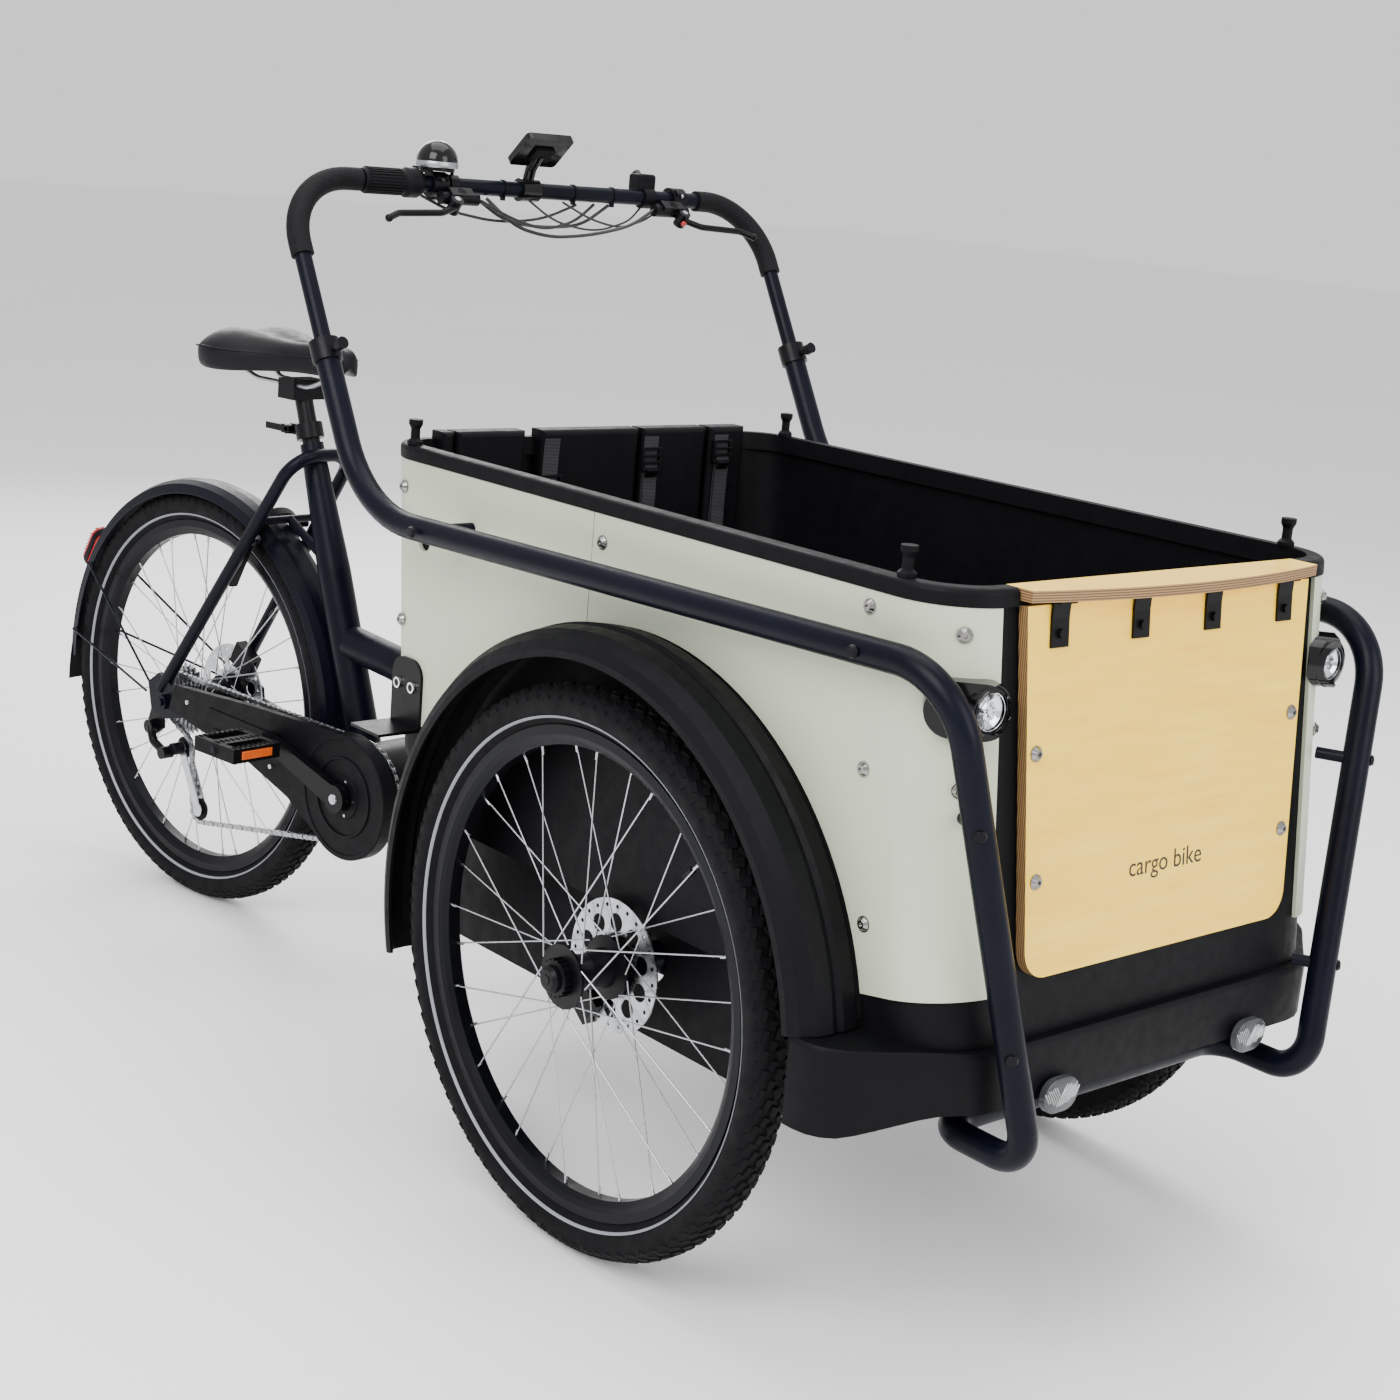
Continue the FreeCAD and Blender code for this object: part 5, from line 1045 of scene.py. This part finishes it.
def add_straps():
    """Harness webbing over the backrest: rippled tape, ladder-lock buckle and a loose tail."""
    low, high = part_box("harness_straps")
    back_x = low.x
    tape = Builder()
    buckles = Builder()
    for y, buckle_z in ((-0.087, 0.803), (0.085, 0.837), (0.216, 0.845)):
        rows = 28
        top = high.z
        bottom = low.z
        tail_top = buckle_z - 0.004
        tail_end = buckle_z - 0.150
        for half, start, end, lift in ((0.0125, top, bottom, 0.0), (0.0115, tail_top, tail_end, 0.0032)):
            front = []
            behind = []
            for row in range(rows + 1):
                z = start + (end - start) * row / rows
                wave = 0.0009 * math.sin(z * 55 + y * 30) + 0.0006 * math.sin(z * 131)
                x = back_x + 0.0016 + lift + max(0.0, wave) + (0.0012 if lift and row > rows * 0.6 else 0)
                drift = 0.0015 * math.sin(z * 23 + y * 9)
                front += [(x, y - half + drift, z), (x + 0.0002, y + drift, z), (x, y + half + drift, z)]
                back = x - 0.0014
                behind += [(back, y - half + drift, z), (back, y + drift, z), (back, y + half + drift, z)]
            faces = []
            size = len(front)
            for row in range(rows):
                for column in range(2):
                    a = row * 3 + column
                    faces.append((a, a + 1, a + 4, a + 3))
                    faces.append((size + a, size + a + 3, size + a + 4, size + a + 1))
                faces.append((row * 3, row * 3 + 3, size + row * 3 + 3, size + row * 3))
                faces.append((row * 3 + 2, size + row * 3 + 2, size + row * 3 + 5, row * 3 + 5))
            faces += [(0, size, size + 1, 1), (1, size + 1, size + 2, 2)]
            last = rows * 3
            faces.append((last, last + 1, size + last + 1, size + last))
            faces.append((last + 1, last + 2, size + last + 2, size + last + 1))
            tape.add(front + behind, faces)
        x = back_x + 0.0050
        for side in (-1, 1):
            buckles.box((0.0024, 0.0020, 0.0160), Matrix.Translation((x, y + side * 0.0150, buckle_z)))
        for dz, thick, lift in BUCKLE_BARS:
            buckles.box((0.0020, 0.0160, thick), Matrix.Translation((x + lift, y, buckle_z + dz)))
        tongue = Matrix.Translation((x + 0.003, y, buckle_z - 0.020)) @ Matrix.Rotation(0.5, 4, "Y")
        buckles.box((0.0016, 0.0100, 0.0060), tongue)
    tape.make("harness_webbing", "webbing", "cargo_front", ("harness_straps",), smooth=40)
    buckles.make("harness_buckles", "moulded", "cargo_front", bevel=0.0007)


def add_step_rings():
    rings = Builder()
    for side in (-1, 1):
        plate = side * 0.3360
        for x in (-487, -455):
            outward_turn = Matrix.Rotation(math.radians(-90 * side), 4, "X")
            place = Matrix.Translation((SHIFT_X + x * MM, plate, 0.560)) @ outward_turn
            rings.lathe([(0.0046, 0.0), (0.0048, 0.0034), (0.0072, 0.0034), (0.0078, 0.0)], place, 28)
    rings.make("step_rivet_rings", "chrome", "cargo_front")


def add_bumper_bolts():
    """Button heads where the stand-offs pass through the bumper tube."""
    heads = Builder()
    for side in (-1, 1):
        for x, y, z, out in ((510.5, -321, 642, (0.72, -0.69, 0)), (541.3, -268.5, 410, (0.66, -0.75, 0)),
                             (-350, -404, 786, (0, -1, 0)), (372, -364, 796, (0, -1, 0))):
            point = FRONT @ mm(x, y, z)
            direction = Vector(out).normalized()
            start = point + direction * 0.0150
            end = point + direction * 0.0195
            if side > 0:
                start.y = -start.y
                end.y = -end.y
            heads.cylinder(start, end, 0.0075, 20, 0.0055)
    heads.make("bumper_bolts", "black", "cargo_front", bevel=0.0005)


APRON_PATH = [
    # x, y of the outer face on the right (mm), top z, bottom z
    (372, -413.5, 398, 302), (388, -413.5, 398, 302), (404, -410.5, 398, 302), (418, -403, 398, 302),
    (430, -392, 398, 303), (441, -378, 398, 307), (453, -361, 398, 313), (466, -343, 399, 320),
    (479, -325, 399.5, 327), (491, -309, 400, 332), (504, -291, 400, 334), (512.5, -272, 400, 334),
    (515.5, -251, 400, 334), (515.5, -120, 400, 334),
]
APRON_CORNER = Vector((427, -251))
TUB_CORNER_RADIUS = 75.5
TUB_FRONT_DEPTH = 14
TUB_SIDE_Y = -329
LEAST_LIP = 4


def add_apron():
    """The moulded skirt: one wall that sweeps from arch to arch, with a rounded top lip."""
    path = APRON_PATH + [(x, -y, top, bottom) for x, y, top, bottom in reversed(APRON_PATH)]
    rings = []
    for x, y, top, bottom in path:
        side = -1 if y < 0 else 1
        point = Vector((x, -abs(y)))
        away = point - APRON_CORNER
        if x <= APRON_CORNER.x:
            inner = Vector((x, TUB_SIDE_Y))
        elif abs(y) < abs(APRON_CORNER.y):
            inner = Vector((x - TUB_FRONT_DEPTH, point.y))
        else:
            reach = min(TUB_CORNER_RADIUS, away.length - LEAST_LIP)
            inner = APRON_CORNER + away.normalized() * reach
        inward = (inner - point).normalized()
        ring = [(point, bottom), (point, top - 7), (point + inward * 1.2, top - 2),
                (point + inward * 3.2, top), (inner, top), (inner, top - 4),
                (point + inward * 3.6, top - 4.5), (point + inward * 3.2, bottom)]
        rings.append([FRONT @ mm(place.x, -side * place.y, z) for place, z in ring])
    count = len(rings[0])
    vertices = [vertex for ring in rings for vertex in ring]
    faces = []
    for row in range(len(rings) - 1):
        for index in range(count):
            nxt = (index + 1) % count
            faces.append((row * count + index, row * count + nxt,
                          (row + 1) * count + nxt, (row + 1) * count + index))
    faces.append(tuple(range(count)))
    faces.append(tuple(reversed([(len(rings) - 1) * count + index for index in range(count)])))
    apron = outward(new_mesh("apron", vertices, faces))
    finish_piece(apron, "moulded", "cargo_front", ("front_skirt",), smooth=38)


def add_print():
    """A plain generic line of lettering low on the plywood."""
    curve = bpy.data.curves.new("lettering", "FONT")
    curve.body = "cargo bike"
    curve.size = 0.030
    curve.align_x = "CENTER"
    curve.extrude = 0.0001
    text = bpy.data.objects.new("lettering", curve)
    bpy.context.scene.collection.objects.link(text)
    bpy.context.view_layer.update()
    mesh = bpy.data.meshes.new_from_object(text.evaluated_get(bpy.context.evaluated_depsgraph_get()))
    bpy.data.objects.remove(text)
    lean = math.radians(-6)
    place = FRONT @ Matrix.Translation(mm(507.6, 0, 467)) @ Matrix.Rotation(lean, 4, "Y")
    turn = Matrix(((0, 0, 1, 0), (1, 0, 0, 0), (0, 1, 0, 0), (0, 0, 0, 1)))
    mesh.transform(place @ Matrix.Translation((0.0002, 0.002, 0.086)) @ turn)
    label = bpy.data.objects.new("lettering_on_plywood", mesh)
    bpy.context.scene.collection.objects.link(label)
    finish_piece(label, "print", "cargo_front", smooth=10)


add_straps()
add_step_rings()
add_bumper_bolts()
add_apron()
add_print()

# ---------------------------------------------------------------- handlebar details

LEVER_REACH = Vector((0.8, 0, -0.6))


def bar(y, forward=0.0, drop=0.0):
    return Vector((BAR.x + forward * MM, y * MM, BAR.z - drop * MM))


def add_bell_details():
    centre = bar(-172) + mm(4, 0, 30)
    band = Builder()
    place = Matrix.Translation(centre)
    band.lathe([(0.0282, -0.0075), (0.0287, -0.0060), (0.0287, -0.0010), (0.0281, 0.0005)], place, 48)
    band.lathe([(0.0, 0.0284), (0.0045, 0.0283), (0.0060, 0.0274)], place, 32)
    band.make("bell_band", "dull", "handlebar")
    dome = Builder()
    profile = []
    for step in range(13):
        angle = math.radians(-12 + 102 * step / 12)
        profile.append((0.02815 * math.cos(angle), 0.02815 * math.sin(angle)))
    profile[-1] = (0.0, 0.02815)
    dome.lathe(profile, place, 56)
    dome.make("bell_dome", "gloss", "handlebar", smooth=60)


def add_display_details():
    joint = bar(-17) + mm(26, 0, 56)
    place = Matrix.Translation(joint) @ Matrix.Rotation(math.radians(50), 4, "Y")
    glass_piece = Builder()
    glass_piece.box((0.0004, 0.0355, 0.0265), place @ Matrix.Translation((-0.0047, 0, 0)))
    glass_piece.make("display_screen", "screen", "handlebar", bevel=0.0002)
    ridge = Builder()
    ridge.box((0.0030, 0.0160, 0.0120), place @ Matrix.Translation((0.0060, 0, -0.002)))
    for y in (-0.020, 0, 0.020):
        ridge.box((0.0010, 0.0060, 0.0016), place @ Matrix.Translation((-0.0050, y, -0.0282)))
    ridge.make("display_back", "moulded", "handlebar", bevel=0.0006)


def add_brake_details():
    """Reservoir caps, adjuster screws, clamp bolts and a small red cap on the left lever."""
    parts = Builder()
    bolts = Builder()
    for y, out in ((-160, -1), (240, 1)):
        middle = bar(y - out * 14) + LEVER_REACH * 0.027
        normal = Vector((0.6, 0, 0.8))
        parts.cylinder(middle + normal * 0.005, middle + normal * 0.0125, 0.0085, 6)
        turn = Matrix((LEVER_REACH, Vector((0, 1, 0)), normal)).transposed().to_4x4()
        parts.box((0.0085, 0.0190, 0.0030), Matrix.Translation(middle + normal * 0.0095) @ turn)
        clamp = bar(y + out * 10)
        for k in (-1, 1):
            start = clamp + normal * (k * 0.0165) + LEVER_REACH * 0.004
            parts.box((0.0060, 0.0085, 0.0028), Matrix.Translation(start) @ turn)
            bolts.cylinder(start + LEVER_REACH * 0.005, start + LEVER_REACH * 0.0085, 0.0024, 12)
        pivot = bar(y) + LEVER_REACH * 0.042
        bolts.cylinder(pivot + normal * 0.0100, pivot + normal * 0.0122, 0.0042, 16)
    parts.make("master_cylinder_caps", "black", "handlebar", bevel=0.0010)
    bolts.make("brake_bolts", "dull", "handlebar")
    cap = Builder()
    point = bar(240) + LEVER_REACH * 0.042
    point += mm(0, -3, 0)
    cap.cylinder(point + LEVER_REACH * 0.0095, point + LEVER_REACH * 0.0130, 0.0040, 16)
    cap.make("brake_red_cap", "red", "handlebar")


def add_cable_loops():
    """Control cables that sag under the bar between the controls."""
    loops = Builder()
    routes = [
        [bar(-196, -2, 14), bar(-150, 6, 34), bar(-70, 10, 46), bar(10, 4, 38), bar(70, 0, 16)],
        [bar(-20, 6, 12), bar(20, 18, 40), bar(90, 22, 52), bar(160, 10, 34), bar(188, 0, 14)],
        [bar(-110, 24, 18), bar(-60, 30, 40), bar(0, 26, 52), bar(60, 14, 38), bar(100, 2, 14)],
        [bar(40, 8, 13), bar(80, 22, 34), bar(130, 28, 44), bar(175, 24, 32), bar(200, 20, 20)],
    ]
    for route, radius in zip(routes, (0.0021, 0.0016, 0.0023, 0.0016)):
        radii = []
        for before, corner, after in zip(route, route[1:], route[2:]):
            shorter = min((corner - before).length, (after - corner).length)
            turn = math.pi - (before - corner).angle(after - corner)
            radii.append(0.46 * shorter / math.tan(turn / 2))
        loops.tube(rounded(route, radii, 8), radius, 10)
    loops.make("cable_loops", "hose", "handlebar", smooth=60)
    ties = Builder()
    for y in (-60, 62, 132):
        place = Matrix.Translation(bar(y)) @ Matrix.Rotation(math.radians(90), 4, "X")
        section = [(0.0114, -0.0018), (0.0124, -0.0018), (0.0124, 0.0018), (0.0114, 0.0018)]
        ties.lathe(section, place, 28, closed=True)
        ties.box((0.0030, 0.0024, 0.0030), Matrix.Translation(bar(y, 3, 13)))
    ties.make("cable_ties", "moulded", "handlebar")


def add_shifter_details():
    ribs = Builder()
    for index in range(26):
        angle = 2 * math.pi * index / 26
        local = Matrix.Translation(bar(-255)) @ Matrix.Rotation(angle, 4, "Y")
        ribs.box((0.0010, 0.0270, 0.0008), local @ Matrix.Translation((0, 0, 0.0170)))
    ribs.make("shifter_ribs", "grip", "twist_grip")


add_bell_details()
add_display_details()
add_brake_details()
add_cable_loops()
add_shifter_details()

# ---------------------------------------------------------------- stage and light


def add_stage():
    floor = new_mesh("floor", [(-30, -30, 0), (30, -30, 0), (30, 30, 0), (-30, 30, 0)], [(0, 1, 2, 3)])
    material, tree, shader = new_material("floor_white", "floor", (0.93, 0.93, 0.93), 0.85)
    stops = [(0.3, (0.92, 0.92, 0.92)), (0.7, (0.94, 0.94, 0.94))]
    tree.links.new(ramp(tree, noise(tree, coordinates(tree), 0.4, 2), stops), shader.inputs["Base Color"])
    floor.data.materials.append(material)
    world = bpy.data.worlds.new("studio")
    world.use_nodes = True
    background = world.node_tree.nodes["Background"]
    background.inputs["Color"].default_value = (0.99, 0.99, 1.0, 1)
    background.inputs["Strength"].default_value = 1.05
    bpy.context.scene.world = world


def area_light(name, place, target, width, height, power, colour=(1, 1, 1)):
    data = bpy.data.lights.new(name, "AREA")
    data.shape = "RECTANGLE"
    data.size = width
    data.size_y = height
    data.energy = power
    data.color = colour
    light = bpy.data.objects.new(name, data)
    bpy.context.scene.collection.objects.link(light)
    light.location = place
    light.rotation_euler = (Vector(target) - Vector(place)).to_track_quat("-Z", "Y").to_euler()


add_stage()
area_light("key", (1.6, -3.4, 3.4), (0, 0, 0.5), 2.6, 2.6, 190)
area_light("front", (4.2, 0.6, 2.2), (0, 0, 0.5), 2.0, 2.6, 95)
area_light("top", (-0.2, 0.2, 4.2), (0, 0, 0.5), 3.4, 3.4, 130)
area_light("rear", (-3.4, 1.6, 2.6), (0, 0, 0.6), 2.0, 2.4, 90)
